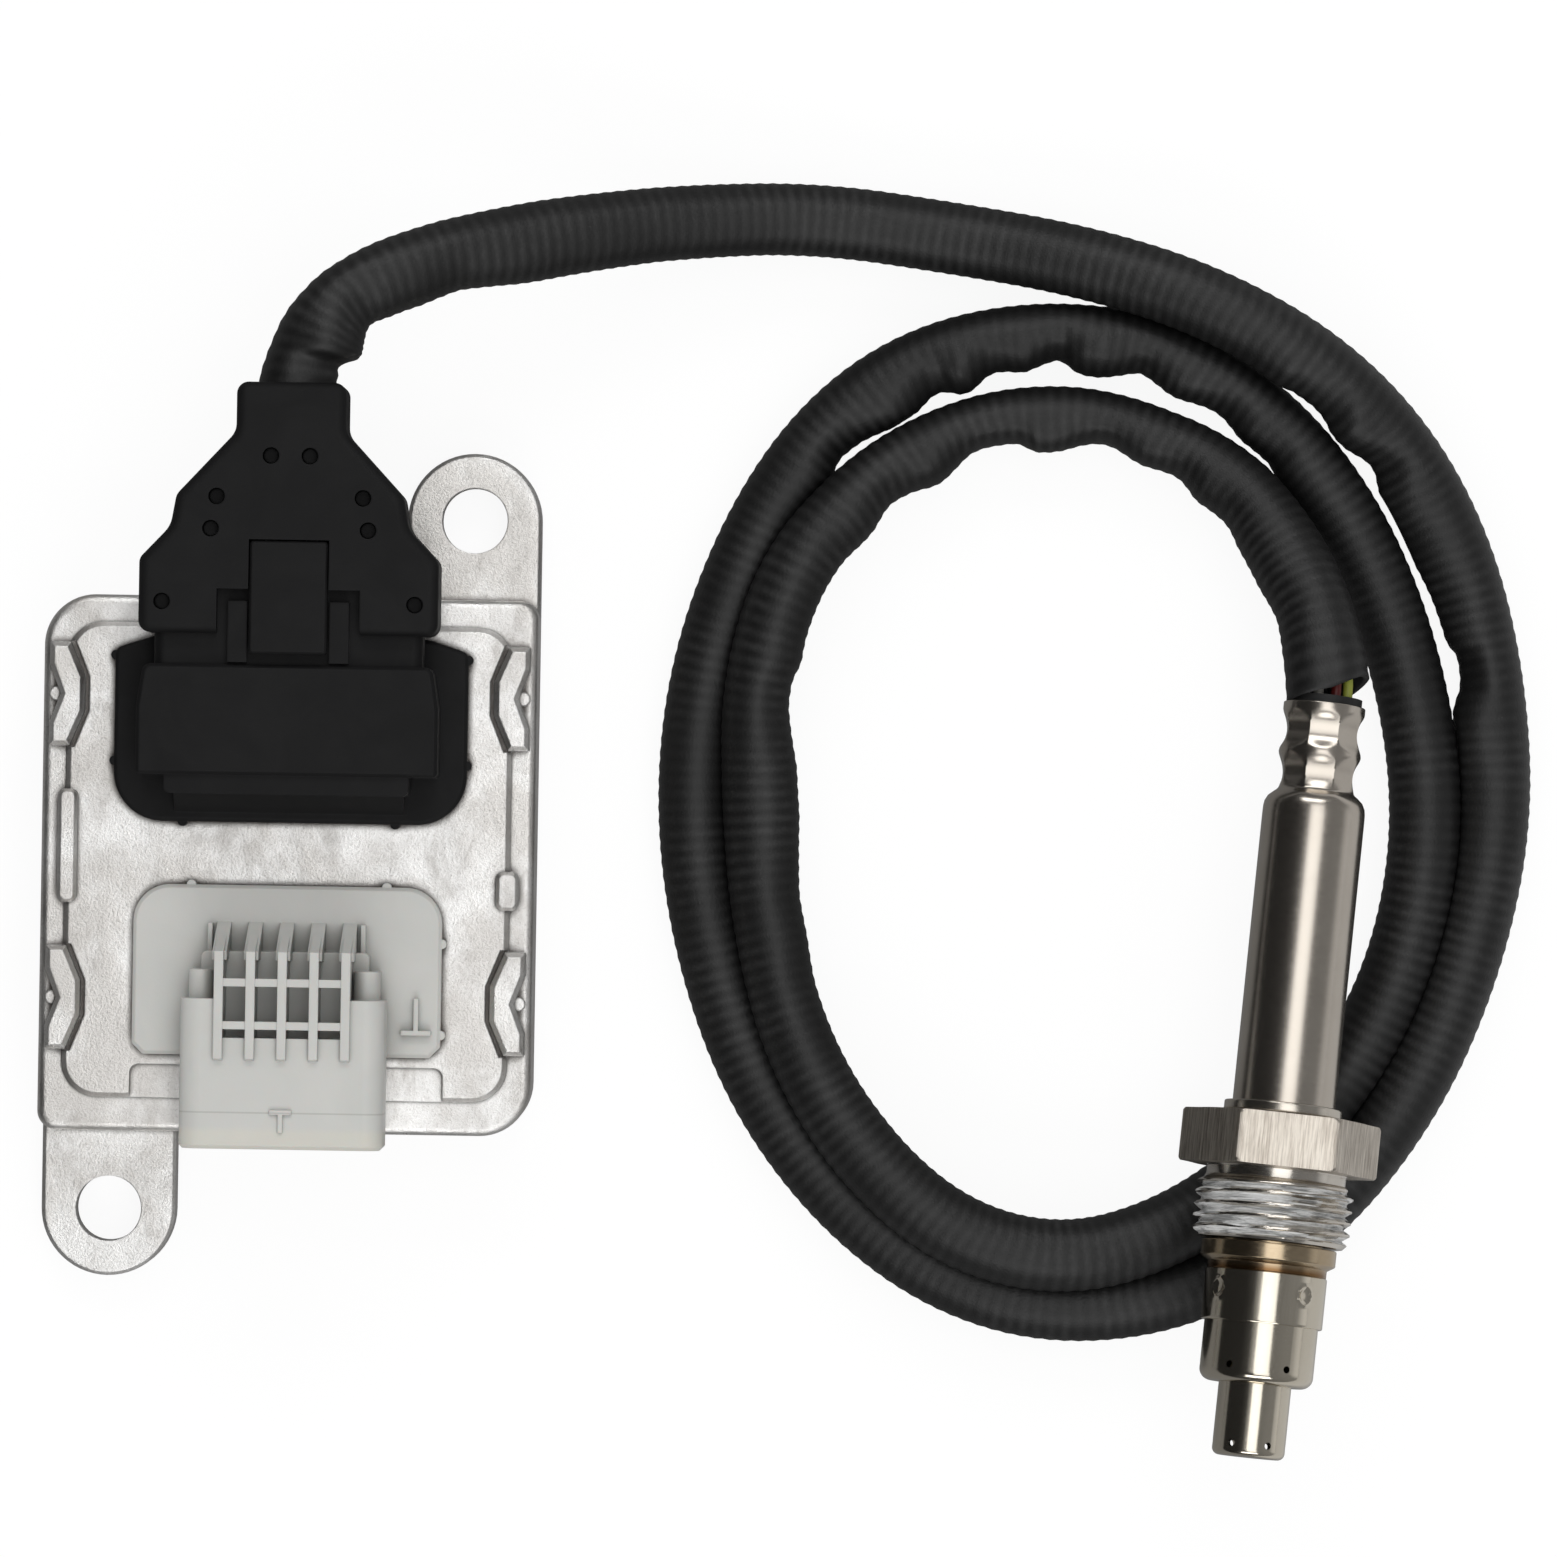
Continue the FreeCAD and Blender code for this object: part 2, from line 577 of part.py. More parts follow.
def make_plug_body():
    """Plug that fills the black socket, with latch rails and the latch tongue."""
    x = LINK_X
    half = S_CAVITY_HALF - FIT
    z0 = PLUG_AXIS_Z - S_CAVITY_H / 2 + FIT
    z1 = PLUG_AXIS_Z + S_CAVITY_H / 2 - FIT
    nose = tunnel(x - half + PLUG_NOSE_IN, x + half - PLUG_NOSE_IN, z0 + PLUG_NOSE_IN, z1 - PLUG_NOSE_IN,
                  1.0, PLUG_Y0, PLUG_Y0 + 3.5)
    body = tunnel(x - half, x + half, z0, z1, 1.4, PLUG_Y0 + 3.0, PLUG_Y1)
    tail = tunnel(x - PLUG_TAIL_HALF, x + PLUG_TAIL_HALF, z0, z1, 1.4, PLUG_Y1 - 1, PLUG_TAIL_Y)
    parts = [nose, body, tail]
    for side in (-1, 1):
        middle = x + side * RAIL_X
        parts.append(box(middle - RAIL_W / 2, middle + RAIL_W / 2, S_BLOCK_Y1 + RAIL_GAP, RAIL_END_Y,
                         z1 - SINK, RAIL_TOP))
    tongue = rounded(x - TONGUE_HALF, x + TONGUE_HALF, TONGUE_Y0, TONGUE_Y1, 0.5, TONGUE_Z, SHELL_Z1)
    tongue = bevel(tongue, 0.3, lambda edge: lies_at(edge, SHELL_Z1))
    parts.append(tongue)
    parts.append(box(x - 1.6, x + 1.6, 28.0, 33.0, z1 - 0.5, TONGUE_Z + 0.5))
    shape = joined(parts)
    for z in SENSOR_ROWS:
        for column in SENSOR_COLUMNS:
            shape = shape.cut(terminal_space(column, z, TERMINAL_W + 2 * TERMINAL_GAP))
    return shape


def terminal_space(x, z, width):
    """Square bar the length of the plug, for a terminal or its hole."""
    return box(x - width / 2, x + width / 2, PLUG_Y0 - 1, PLUG_TAIL_Y + 1, z - width / 2, z + width / 2)


def plug_terminals():
    """Eight square-barrelled contacts, each a sliding fit on its pin."""
    terminals = []
    for z in SENSOR_ROWS:
        for x in SENSOR_COLUMNS:
            barrel = box(x - TERMINAL_W / 2, x + TERMINAL_W / 2, PLUG_Y0 + 0.4, BARREL_END_Y,
                         z - TERMINAL_W / 2, z + TERMINAL_W / 2)
            crimp = rod(LEAD_D / 2 + 0.2, (x, 29.0, z), (x, PLUG_TAIL_Y, z))
            slot = PIN_W / 2 + TERMINAL_GAP / 2
            bore = box(x - slot, x + slot, PLUG_Y0, 21.0, z - slot, z + slot)
            terminals.append(joined([barrel, crimp]).cut(bore))
    return terminals


def make_plug_seal():
    """Rubber ring round the plug's nose, against the socket wall."""
    x = LINK_X
    half = S_CAVITY_HALF - 0.05
    z0 = PLUG_AXIS_Z - S_CAVITY_H / 2 + 0.05
    z1 = PLUG_AXIS_Z + S_CAVITY_H / 2 - 0.05
    ring = tunnel(x - half, x + half, z0, z1, 1.4, PLUG_Y0 + 0.6, PLUG_Y0 + 2.8)
    grip = PLUG_NOSE_IN + FIT - 0.05
    hole = tunnel(x - half + grip, x + half - grip, z0 + grip, z1 - grip, 1.0, PLUG_Y0, PLUG_Y0 + 4)
    return ring.cut(hole)


def shell_face():
    """The backshell's outline seen from above, from the neck down to the mouth."""
    half = ((NECK_HALF, NECK_Y1, 1.5), (NECK_HALF, NECK_Y0, 2.5), (14.3, 46.6, 2.0), (15.0, 42.6, 3.5),
            (SHELL_HALF, 38.5, 1.5), (SHELL_HALF, SHELL_Y0, 1.5))
    right = [(LINK_X + x, y, radius) for x, y, radius in half]
    left = [(LINK_X - x, y, radius) for x, y, radius in reversed(half)]
    return Part.Face(outline(right + left))


def shell_block():
    """The closed backshell, before it is split and hollowed."""
    block = shell_face().extrude(V(0, 0, SHELL_Z1 - SHELL_Z0))
    block.translate(V(0, 0, SHELL_Z0))
    return soften(block, SHELL_EDGE_R, lambda edge: lies_at(edge, SHELL_Z0) or lies_at(edge, SHELL_Z1))


def shell_hollow():
    """Space inside the backshell for the plug's tail, the leads and the cable end."""
    low = PLUG_AXIS_Z - S_CAVITY_H / 2
    high = PLUG_AXIS_Z + S_CAVITY_H / 2
    room = shell_face().makeOffset2D(-SHELL_WALL).extrude(V(0, 0, high - low))
    room.translate(V(0, 0, low))
    room = room.common(box(-SHELL_Y0, SHELL_Y0, SHELL_Y0 - 1, LEAD_ROOM_END_Y, low, high))
    mouth = box(LINK_X - S_CAVITY_HALF, LINK_X + S_CAVITY_HALF, SHELL_Y0 - 1, SHELL_Y0 + 3, low, high)
    way_out = (LINK_X, NECK_Y1 + 1, PLUG_AXIS_Z)
    lead_way = rod(CABLE_D / 2 - LEAD_WAY_STEP, (LINK_X, NECK_Y0 - 4, PLUG_AXIS_Z), way_out)
    cable_way = rod(CABLE_D / 2 + FIT, (LINK_X, CABLE_STOP_Y, PLUG_AXIS_Z), way_out)
    return joined([room, mouth, lead_way, cable_way])


def shell_half(upper):
    """Upper or lower half of the backshell, split level with the cable."""
    far = 60
    if upper:
        side = box(-far, far, 0, 2 * far, PLUG_AXIS_Z, far)
    else:
        side = box(-far, far, 0, 2 * far, 0, PLUG_AXIS_Z)
    shape = shell_block().common(side).cut(shell_hollow())
    posts = []
    for x, y in SHELL_PIN_PLACES:
        for sign in (-1, 1):
            place = LINK_X + sign * x
            if upper:
                shape = shape.cut(Part.makeCylinder(SHELL_PIN_R + 0.1, far, V(place, y, PLUG_AXIS_Z)))
            else:
                posts.append(Part.makeCylinder(SHELL_PIN_R, SHELL_Z1 - 1.5 - SHELL_Z0 - 0.5,
                                               V(place, y, SHELL_Z0 + 0.5)))
    if not upper:
        return joined([shape] + posts)
    slot = TONGUE_HALF + FIT
    slot = box(LINK_X - slot, LINK_X + slot, SHELL_Y0 - 1, TONGUE_Y1 + FIT, PLUG_AXIS_Z + 3, SHELL_Z1 + 1)
    window = box(LINK_X - WINDOW_HALF, LINK_X + WINDOW_HALF, SHELL_Y0 - 1, WINDOW_Y,
                 PLUG_AXIS_Z + SHELL_HALF_H / 2, SHELL_Z1 + 1)
    return shape.cut([slot, window])


def lead_along(points):
    """Round lead through points, cut square to Y at both ends."""
    pieces = []
    for i in range(len(points) - 1):
        start = V(*points[i])
        end = V(*points[i + 1])
        along = end - start
        along.normalize()
        first = start - along * LEAD_D if i == 0 else start
        last = end + along * LEAD_D if i == len(points) - 2 else end
        pieces.append(rod(LEAD_D / 2, first, last))
        if i:
            pieces.append(Part.makeSphere(LEAD_D / 2, start))
    reach = PLUG_AXIS_Z
    between = box(-reach, reach, points[0][1], points[-1][1], 0, 2 * reach)
    return joined(pieces).common(between) if len(pieces) > 1 else pieces[0].common(between)


def plug_leads():
    """Eight leads that draw together from the contacts to the cable's end."""
    inner_rise = math.sqrt(LEAD_RING_R ** 2 - INNER_LEAD_X ** 2)
    outer_x = inner_rise * 0.9
    outer_rise = math.sqrt(LEAD_RING_R ** 2 - outer_x ** 2)
    leads = []
    for z in SENSOR_ROWS:
        up = 1 if z > PLUG_AXIS_Z else -1
        for x in SENSOR_COLUMNS:
            side = 1 if x > LINK_X else -1
            if abs(x - LINK_X) > PIN_PITCH_X:
                bend = []
                end = (LINK_X + side * outer_x, CABLE_STOP_Y, PLUG_AXIS_Z + up * outer_rise)
            else:
                bend = [(LINK_X + side * INNER_LEAD_X, INNER_LEAD_BEND_Y, PLUG_AXIS_Z + up * inner_rise)]
                end = (LINK_X + side * INNER_LEAD_X, CABLE_STOP_Y, PLUG_AXIS_Z + up * inner_rise)
            leads.append(lead_along([(x, PLUG_TAIL_Y, z)] + bend + [end]))
    return leads


def make_vehicle_header():
    """Grey header: flange, socket open to the front, and the ribs over its pins."""
    x = LINK_X
    f = V_FLANGE_HALF
    c = V_CORNER_CUT
    flange = slab(((x - f, V_FLANGE_Y0 + c, 0.6), (x - f + c, V_FLANGE_Y0, 0.6),
                   (x + f - c, V_FLANGE_Y0, 0.6), (x + f, V_FLANGE_Y0 + c, 0.6),
                   (x + f, V_FLANGE_Y1, 4.7), (x - f, V_FLANGE_Y1, 4.7)), FIELD_TOP, FLANGE_TOP)
    flange = bevel(flange, SMALL_EDGE, lambda edge: lies_at(edge, FLANGE_TOP))
    shroud = tunnel(x - V_SHROUD_HALF, x + V_SHROUD_HALF, V_SHROUD_Z0, V_SHROUD_Z1, 2.6,
                    V_SHROUD_Y0, V_SHROUD_Y1)
    shroud = bevel(shroud, SMALL_EDGE, lambda edge: abs(edge.BoundBox.YMax - V_SHROUD_Y0) < 0.01)
    back = rounded(x - V_BACK_HALF, x + V_BACK_HALF, V_SHROUD_Y1 - 2, V_BACK_Y1, 0.8,
                   FLANGE_TOP - SINK, V_BACK_TOP)
    parts = [flange, shroud, back, vehicle_opening(0)]
    for side in (-1, 1):
        middle = x + side * HUMP_X
        high = FIELD_TOP + V_SHROUD_RISE + HUMP_RISE
        parts.append(rod(HUMP_R, (middle, V_SHROUD_Y1 - 1, high), (middle, HUMP_Y1, high)))
        parts.append(box(middle - HUMP_R, middle + HUMP_R, V_SHROUD_Y1 - 1, HUMP_Y1, FLANGE_TOP - SINK, high))
    for px, py in ((x - 12.3, V_FLANGE_Y1), (x + 12.5, V_FLANGE_Y1), (x + f, -9.7), (x + f, -21.3)):
        parts.append(Part.makeCylinder(NUB_R, FLANGE_T - SMALL_EDGE, V(px, py, FIELD_TOP)))
    shape = joined(parts)
    trough = box(x - 2 * RIB_PITCH, x + 2 * RIB_PITCH, BAR_PLACES[1] - 1.6, V_SHROUD_Y1 + 1,
                 V_BACK_TOP, V_SHROUD_Z1 + 2)
    shape = shape.cut(trough)
    ribs = []
    low = FLANGE_TOP - SINK
    blade = [V(0, RIB_Y0, V_SHROUD_Z1 - 1), V(0, BAR_PLACES[1] - 1.8, V_BACK_TOP - SINK),
             V(0, V_BACK_Y1 - 1, V_BACK_TOP - SINK), V(0, V_BACK_Y1 - 1, low), V(0, RIB_FOOT_Y, low),
             V(0, RIB_Y1, RIB_TOP), V(0, RIB_Y0 + 0.6, RIB_TOP), V(0, RIB_Y0, V_SHROUD_Z1 - 1)]
    foot = [V(0, V_BACK_Y1 - 1, low), V(0, RIB_FOOT_Y + RIB_FOOT_DROP / 4, low),
            V(0, RIB_Y1, RIB_TOP - RIB_FOOT_DROP), V(0, V_BACK_Y1 - 1, RIB_TOP - RIB_FOOT_DROP),
            V(0, V_BACK_Y1 - 1, low)]
    for i in range(RIB_COUNT):
        middle = x + (i - (RIB_COUNT - 1) / 2) * RIB_PITCH
        for profile, width in ((blade, RIB_T), (foot, RIB_FOOT_W)):
            rib = Part.Face(Part.makePolygon(profile)).extrude(V(width, 0, 0))
            rib.translate(V(middle - width / 2, 0, 0))
            ribs.append(rib)
    reach = (RIB_COUNT - 1) / 2 * RIB_PITCH
    for y in BAR_PLACES:
        ribs.append(box(x - reach, x + reach, y - BAR_W / 2, y + BAR_W / 2, RIB_TOP - 1.7, RIB_TOP - 0.1))
    key_top = V_SHROUD_Z1 + 0.35
    ribs.append(box(x - 1.4, x + 1.4, -31.3, -30.7, V_SHROUD_Z1 - 0.5, key_top))
    ribs.append(box(x - 0.3, x + 0.3, -33.6, -31.0, V_SHROUD_Z1 - 0.5, key_top))
    mark_top = FLANGE_TOP + MARK_RISE
    ribs.append(box(x + MARK_X - 1.9, x + MARK_X + 1.9, -21.3, -20.7, FLANGE_TOP - SINK, mark_top))
    ribs.append(box(x + MARK_X - 0.3, x + MARK_X + 0.3, -21.0, -16.6, FLANGE_TOP - SINK, mark_top))
    for side in (-1, 1):
        wall = x + side * FOOT_WALL_X
        ribs.append(box(wall - 0.3, wall + 0.3, V_BACK_Y1 - 1.3, RIB_FOOT_Y, FLANGE_TOP - SINK,
                        FLANGE_TOP + FOOT_WALL_H))
    shape = joined([shape] + ribs)
    w = V_SHROUD_WALL
    socket = tunnel(x - V_SHROUD_HALF + w, x + V_SHROUD_HALF - w, V_SHROUD_Z0 + w, V_SHROUD_Z1 - w, 1.6,
                    V_SHROUD_Y0 - 1, V_SHROUD_Y0 + V_SOCKET_DEPTH)
    shape = shape.cut(socket)
    shape = shape.cut(vehicle_gasket())
    return shape.cut(vehicle_pins())


def make_board():
    """Circuit board, drilled for its screws and for every pin."""
    board = rounded(-BOARD_HALF_X, BOARD_HALF_X, -BOARD_HALF_Y, BOARD_HALF_Y, 2.0, BOARD_Z, BOARD_TOP)
    for x, y in POSTS:
        board = board.cut(Part.makeCylinder(SCREW_R + 0.2, 10, V(x, y, 0)))
    return board.cut(sensor_pins() + vehicle_pins())


def board_screws():
    """Four round-headed screws that hold the board to the posts."""
    screws = []
    for x, y in POSTS:
        head = Part.makeCylinder(SCREW_HEAD_R, SCREW_HEAD_H, V(x, y, BOARD_Z - SCREW_HEAD_H))
        shank = Part.makeCylinder(SCREW_R, BOARD_T + SCREW_BITE, V(x, y, BOARD_Z))
        screws.append(joined([head, shank]))
    return screws


def chip(x, y, half, height):
    """Flat square package on the board, chamfered at its pin-one corner."""
    corners = ((x - half, y - half, 0), (x + half, y - half, 0), (x + half, y + half, 0),
               (x - half + 1, y + half, 0), (x - half, y + half - 1, 0))
    return slab(corners, BOARD_TOP, BOARD_TOP + height)


def filter_capacitors():
    """Three can capacitors, standing just short of the lid."""
    cans = []
    tall = POST_H - CAN_GAP
    for x, y in ((-20.5, 0.0), (-20.5, 9.0), (20.5, 2.0)):
        can = Part.makeCylinder(CAN_R, tall, V(x, y, BOARD_TOP))
        cans.append(bevel(can, SMALL_EDGE, lambda edge: lies_at(edge, BOARD_TOP + tall)))
    return cans


def heater_drivers():
    """Two power transistors that switch the probe's heater."""
    drivers = []
    for x in (-17.0, 17.0):
        body = rounded(x - 3.3, x + 3.3, -19.0, -12.8, 0.3, BOARD_TOP, BOARD_TOP + 2.3)
        tab = box(x - 2.7, x + 2.7, -21.0, -19.0, BOARD_TOP, BOARD_TOP + 1.2)
        drivers.append(joined([body, tab]))
    return drivers


def cable_wire():
    """Straight runs joined by the largest tangent arcs that the runs allow."""
    points = [V(*point) for point in CABLE_ROUTE]
    edges = []
    radii = []
    here = points[0]
    for i in range(1, len(points) - 1):
        into = points[i] - points[i - 1]
        away = points[i + 1] - points[i]
        reach = 0.45 * min(into.Length, away.Length)
        turn = into.getAngle(away)
        radius = reach / math.tan(turn / 2)
        radii.append(round(radius, 1))
        into.normalize()
        away.normalize()
        first = points[i] - into * reach
        last = points[i] + away * reach
        inward = away - into
        inward.normalize()
        crown = points[i] + inward * (radius / math.cos(turn / 2) - radius)
        edges.append(Part.LineSegment(here, first).toShape())
        edges.append(Part.Arc(first, crown, last).toShape())
        here = last
    edges.append(Part.LineSegment(here, points[-1]).toShape())
    print("cable radii", radii)
    return Part.Wire(edges)


def make_cable():
    """The sleeved cable as one plain tube along its route."""
    wire = cable_wire()
    start = V(*CABLE_ROUTE[0])
    section = Part.Wire(Part.makeCircle(CABLE_D / 2, start, V(*CABLE_ROUTE[1]) - start))
    tube = wire.makePipeShell([section], True, False)
    expected = math.pi * CABLE_D ** 2 / 4 * wire.Length
    print("cable length", round(wire.Length, 1), "volume against section times length",
          round(tube.Volume / expected, 4))
    return tube


def spin(profile):
    """Turned solid from (radius, station) points on the probe's axis."""
    points = [V(radius, 0, station) for radius, station in profile]
    points.append(points[0])
    return Part.Face(Part.makePolygon(points)).revolve(V(0, 0, 0), V(0, 0, 1), 360)


def ring(inner, outer, z0, z1):
    """Plain ring on the probe's axis."""
    return spin(((inner, z0), (outer, z0), (outer, z1), (inner, z1)))


def crimped():
    """Solid form of the rear sleeve's outside: eight jaws have pressed each waist in."""
    middle = sum(CRIMP_PLACES) / 2
    edges = [
        Part.makeLine(V(0, 0, 0), V(RIM_R, 0, 0)),
        Part.makeLine(V(RIM_R, 0, 0), V(RIM_R, 0, middle)),
        Part.makeLine(V(RIM_R, 0, middle), V(WAIST_R, 0, WAIST_END)),
        Part.Arc(V(WAIST_R, 0, WAIST_END), V(6.05, 0, 11.9), V(SLEEVE_R, 0, SHOULDER)).toShape(),
        Part.makeLine(V(SLEEVE_R, 0, SHOULDER), V(SLEEVE_R, 0, SLEEVE_END)),
        Part.makeLine(V(SLEEVE_R, 0, SLEEVE_END), V(0, 0, SLEEVE_END)),
        Part.makeLine(V(0, 0, SLEEVE_END), V(0, 0, 0)),
    ]
    form = Part.Face(Part.Wire(edges)).revolve(V(0, 0, 0), V(0, 0, 1), 360)
    jaws = []
    for station in CRIMP_PLACES:
        for i in range(CRIMP_JAWS):
            jaw = Part.makeCylinder(CRIMP_JAW_R, 8, V(CRIMP_R + CRIMP_JAW_R, -4, station), V(0, 1, 0))
            jaw.rotate(V(0, 0, 0), V(0, 0, 1), 360 * i / CRIMP_JAWS)
            jaws.append(jaw)
    return form.cut(jaws)


def sleeve_bore(z0):
    """Turned form of the sleeve's inside, with a waist at each crimp."""
    waist = CRIMP_R - SLEEVE_T
    rim = RIM_R - SLEEVE_T
    middle = sum(CRIMP_PLACES) / 2
    half = math.sqrt(CRIMP_JAW_R ** 2 - (CRIMP_JAW_R - rim + waist) ** 2)
    points = [(0, z0), (rim, z0)]
    for station in CRIMP_PLACES:
        points += [(rim, station - half), (waist, station - half / 2), (waist, station + half / 2)]
        if station < middle:
            points.append((rim, station + half))
    points += [(WAIST_R - SLEEVE_T, WAIST_END), (SLEEVE_BORE_R, SHOULDER), (SLEEVE_BORE_R, SLEEVE_END),
               (0, SLEEVE_END)]
    return spin(points)


def make_rear_sleeve():
    """Drawn steel sleeve over the contacts, crimped twice onto the grommet."""
    return crimped().cut(sleeve_bore(-1)).cut(ring(0, SLEEVE_BORE_R, SHOULDER, SLEEVE_END + 1))


def lead_places():
    """Where the eight leads stand round the probe's axis."""
    step = 2 * math.pi / LEAD_COUNT
    return [(LEAD_RING_R * math.cos((i + 0.5) * step), LEAD_RING_R * math.sin((i + 0.5) * step))
            for i in range(LEAD_COUNT)]


def make_grommet():
    """Rubber plug that the sleeve's crimps grip, with a hole for each lead."""
    plug = sleeve_bore(-GROMMET_OUT).common(Part.makeCylinder(RIM_R, GROMMET_IN + GROMMET_OUT,
                                                              V(0, 0, -GROMMET_OUT)))
    holes = [Part.makeCylinder(LEAD_D / 2, GROMMET_IN + 4, V(x, y, -2)) for x, y in lead_places()]
    return plug.cut(holes)


PROBE_END = V(*CABLE_ROUTE[-1])


def probe_placement():
    """Lays the probe's own axis along its direction over the coil."""
    aim = math.radians(PROBE_AIM)
    tilt = math.radians(PROBE_TILT)
    direction = V(-math.cos(tilt) * math.sin(aim), -math.cos(tilt) * math.cos(aim), math.sin(tilt))
    side = V(0, 0, 1).cross(direction)
    side.normalize()
    top = direction.cross(side)
    spot = V(PROBE_REAR[0], PROBE_REAR[1], PROBE_REAR_Z)
    return FreeCAD.Placement(spot, FreeCAD.Rotation(side, top, direction, "ZXY"))


def in_place(shape):
    """Carries a shape from the probe's own axis to where it lies."""
    shape = shape.copy()
    shape.Placement = probe_placement().multiply(shape.Placement)
    return shape


def lead_wires(first, count):
    """Leads from the cable's cut end through the grommet to the contact holder."""
    to_probe = probe_placement().inverse()
    end = to_probe.multVec(PROBE_END)
    before = to_probe.multVec(V(*CABLE_ROUTE[-2]))
    run = end - before
    run.normalize()
    tilt = FreeCAD.Rotation(V(0, 0, 1), run)
    leads = []
    for x, y in lead_places()[first:first + count]:
        rear = Part.Wire(Part.makeCircle(LEAD_D / 2, end + tilt.multVec(V(x, y, 0)), run))
        front = Part.Wire(Part.makeCircle(LEAD_D / 2, V(x, y, -GROMMET_OUT), V(0, 0, 1)))
        bridge = Part.makeLoft([rear, front], True, True)
        bar = Part.makeCylinder(LEAD_D / 2, HOLDER_Z0 + GROMMET_OUT, V(x, y, -GROMMET_OUT))
        leads.append(in_place(bridge.fuse(bar)))
    return leads


RING_Z0 = SLEEVE_END
JOURNAL_Z0 = RING_Z0 + RING_T
NUT_Z0 = JOURNAL_Z0 + NUT_PLAY
HEX_END = NUT_Z0 + HEX_T
THREAD_START = HEX_END + NECK_RELIEF_T
NUT_END = THREAD_START + THREAD_L
SEAT_Z0 = NUT_END + NUT_PLAY
COLLAR_Z0 = SEAT_Z0 + SEAT_T + SEAT_TAPER
SPIGOT_Z0 = COLLAR_Z0 + COLLAR_T
SHELL_END = SPIGOT_Z0 + SPIGOT_L
CARRIER_END = SPIGOT_Z0 + CARRIER_L
SLEEVE_BORE_R = SLEEVE_R - SLEEVE_T
PACKING_STEPS = (SHELL_REAR + 0.5, 51.0, 57.0, 63.0)


def element_slot(z0, z1):
    """The flat passage that the ceramic element runs through."""
    half_w = ELEMENT_W / 2
    half_t = ELEMENT_T / 2
    return box(-half_w, half_w, -half_t, half_t, z0, z1)


def make_metal_shell():
    """Turned steel body: journal for the nut, sealing seat and tube spigot."""
    shape = spin(((SHELL_BORE_R, SHELL_REAR), (SLEEVE_BORE_R, SHELL_REAR), (SLEEVE_BORE_R, JOURNAL_Z0),
                  (JOURNAL_R, JOURNAL_Z0), (JOURNAL_R, SEAT_Z0), (SEAT_R, SEAT_Z0),
                  (SEAT_R, SEAT_Z0 + SEAT_T), (COLLAR_R, COLLAR_Z0), (COLLAR_R, SPIGOT_Z0),
                  (SPIGOT_R, SPIGOT_Z0), (SPIGOT_R, SHELL_END), (3.2, SHELL_END),
                  (3.2, PACKING_STEPS[3] + 2), (SHELL_BORE_R, PACKING_STEPS[3])))
    return shape


def make_gland_nut():
    """Captive nut: hexagon, relief neck and threaded shank, free to turn."""
    bore = JOURNAL_R + NUT_CLEARANCE
    corner = HEX_AF / math.sqrt(3)
    points = [V(corner * math.cos(math.radians(60 * i)), corner * math.sin(math.radians(60 * i)), NUT_Z0)
              for i in range(7)]
    hexagon = Part.Face(Part.makePolygon(points)).extrude(V(0, 0, HEX_T))
    hexagon.rotate(V(0, 0, 0), V(0, 0, 1), NUT_TURN)
    wide = corner + 0.2
    cone = spin(((0, NUT_Z0), (HEX_FACE_R, NUT_Z0), (wide, NUT_Z0 + HEX_CHAMFER),
                 (wide, HEX_END - HEX_CHAMFER), (HEX_FACE_R, HEX_END), (0, HEX_END)))
    hexagon = hexagon.common(cone)
    shank = spin(((0, HEX_END - 1), (NECK_RELIEF_R, HEX_END - 1), (NECK_RELIEF_R, THREAD_START),
                  (THREAD_R - 0.2, THREAD_START + 0.8), (THREAD_R - 0.05, THREAD_START + 0.8),
                  (THREAD_R - 0.05, NUT_END - THREAD_CHAMFER), (THREAD_R - THREAD_CHAMFER, NUT_END),
                  (0, NUT_END)))
    return joined([hexagon, shank]).cut(Part.makeCylinder(bore, 60, V(0, 0, NUT_Z0 - 20)))


def make_outer_tube():
    """Outer protection tube: rounded at its end, with vent holes above the round."""
    r = OUTER_TUBE_R
    t = TUBE_T
    end = OUTER_TUBE_END
    cup = Part.makeCylinder(r, end - SHELL_END, V(0, 0, SHELL_END))
    cup = soften(cup, 1.5, lambda edge: lies_at(edge, end))
    room = Part.makeCylinder(r - t, end - t - SHELL_END + 1, V(0, 0, SHELL_END - 1))
    cup = cup.cut(room).cut(Part.makeCylinder(TIP_TUBE_R, 20, V(0, 0, end - 10)))
    return cup.cut(vents(r, end - OUTER_VENT_BACK, 6))


def make_tip_tube():
    """Inner protection tube, hung from the shell's end, its closed tip pierced."""
    r = TIP_TUBE_R
    t = TUBE_T
    cup = Part.makeCylinder(r, TIP_END - SHELL_END, V(0, 0, SHELL_END))
    cup = soften(cup, 0.9, lambda edge: lies_at(edge, TIP_END))
    room = Part.makeCylinder(r - t, TIP_END - SHELL_END - t + 1, V(0, 0, SHELL_END - 1))
    return cup.cut(room).cut(vents(r, TIP_END - TIP_VENT_BACK, 6))


def vents(radius, station, count):
    """Small round holes, evenly spaced round a tube."""
    holes = []
    for i in range(count):
        angle = 2 * math.pi * i / count + math.radians(VENT_TURN)
        out = V(math.cos(angle), math.sin(angle), 0)
        holes.append(Part.makeCylinder(VENT_R, 2, V(0, 0, station) + out * (radius - 1), out))
    return holes


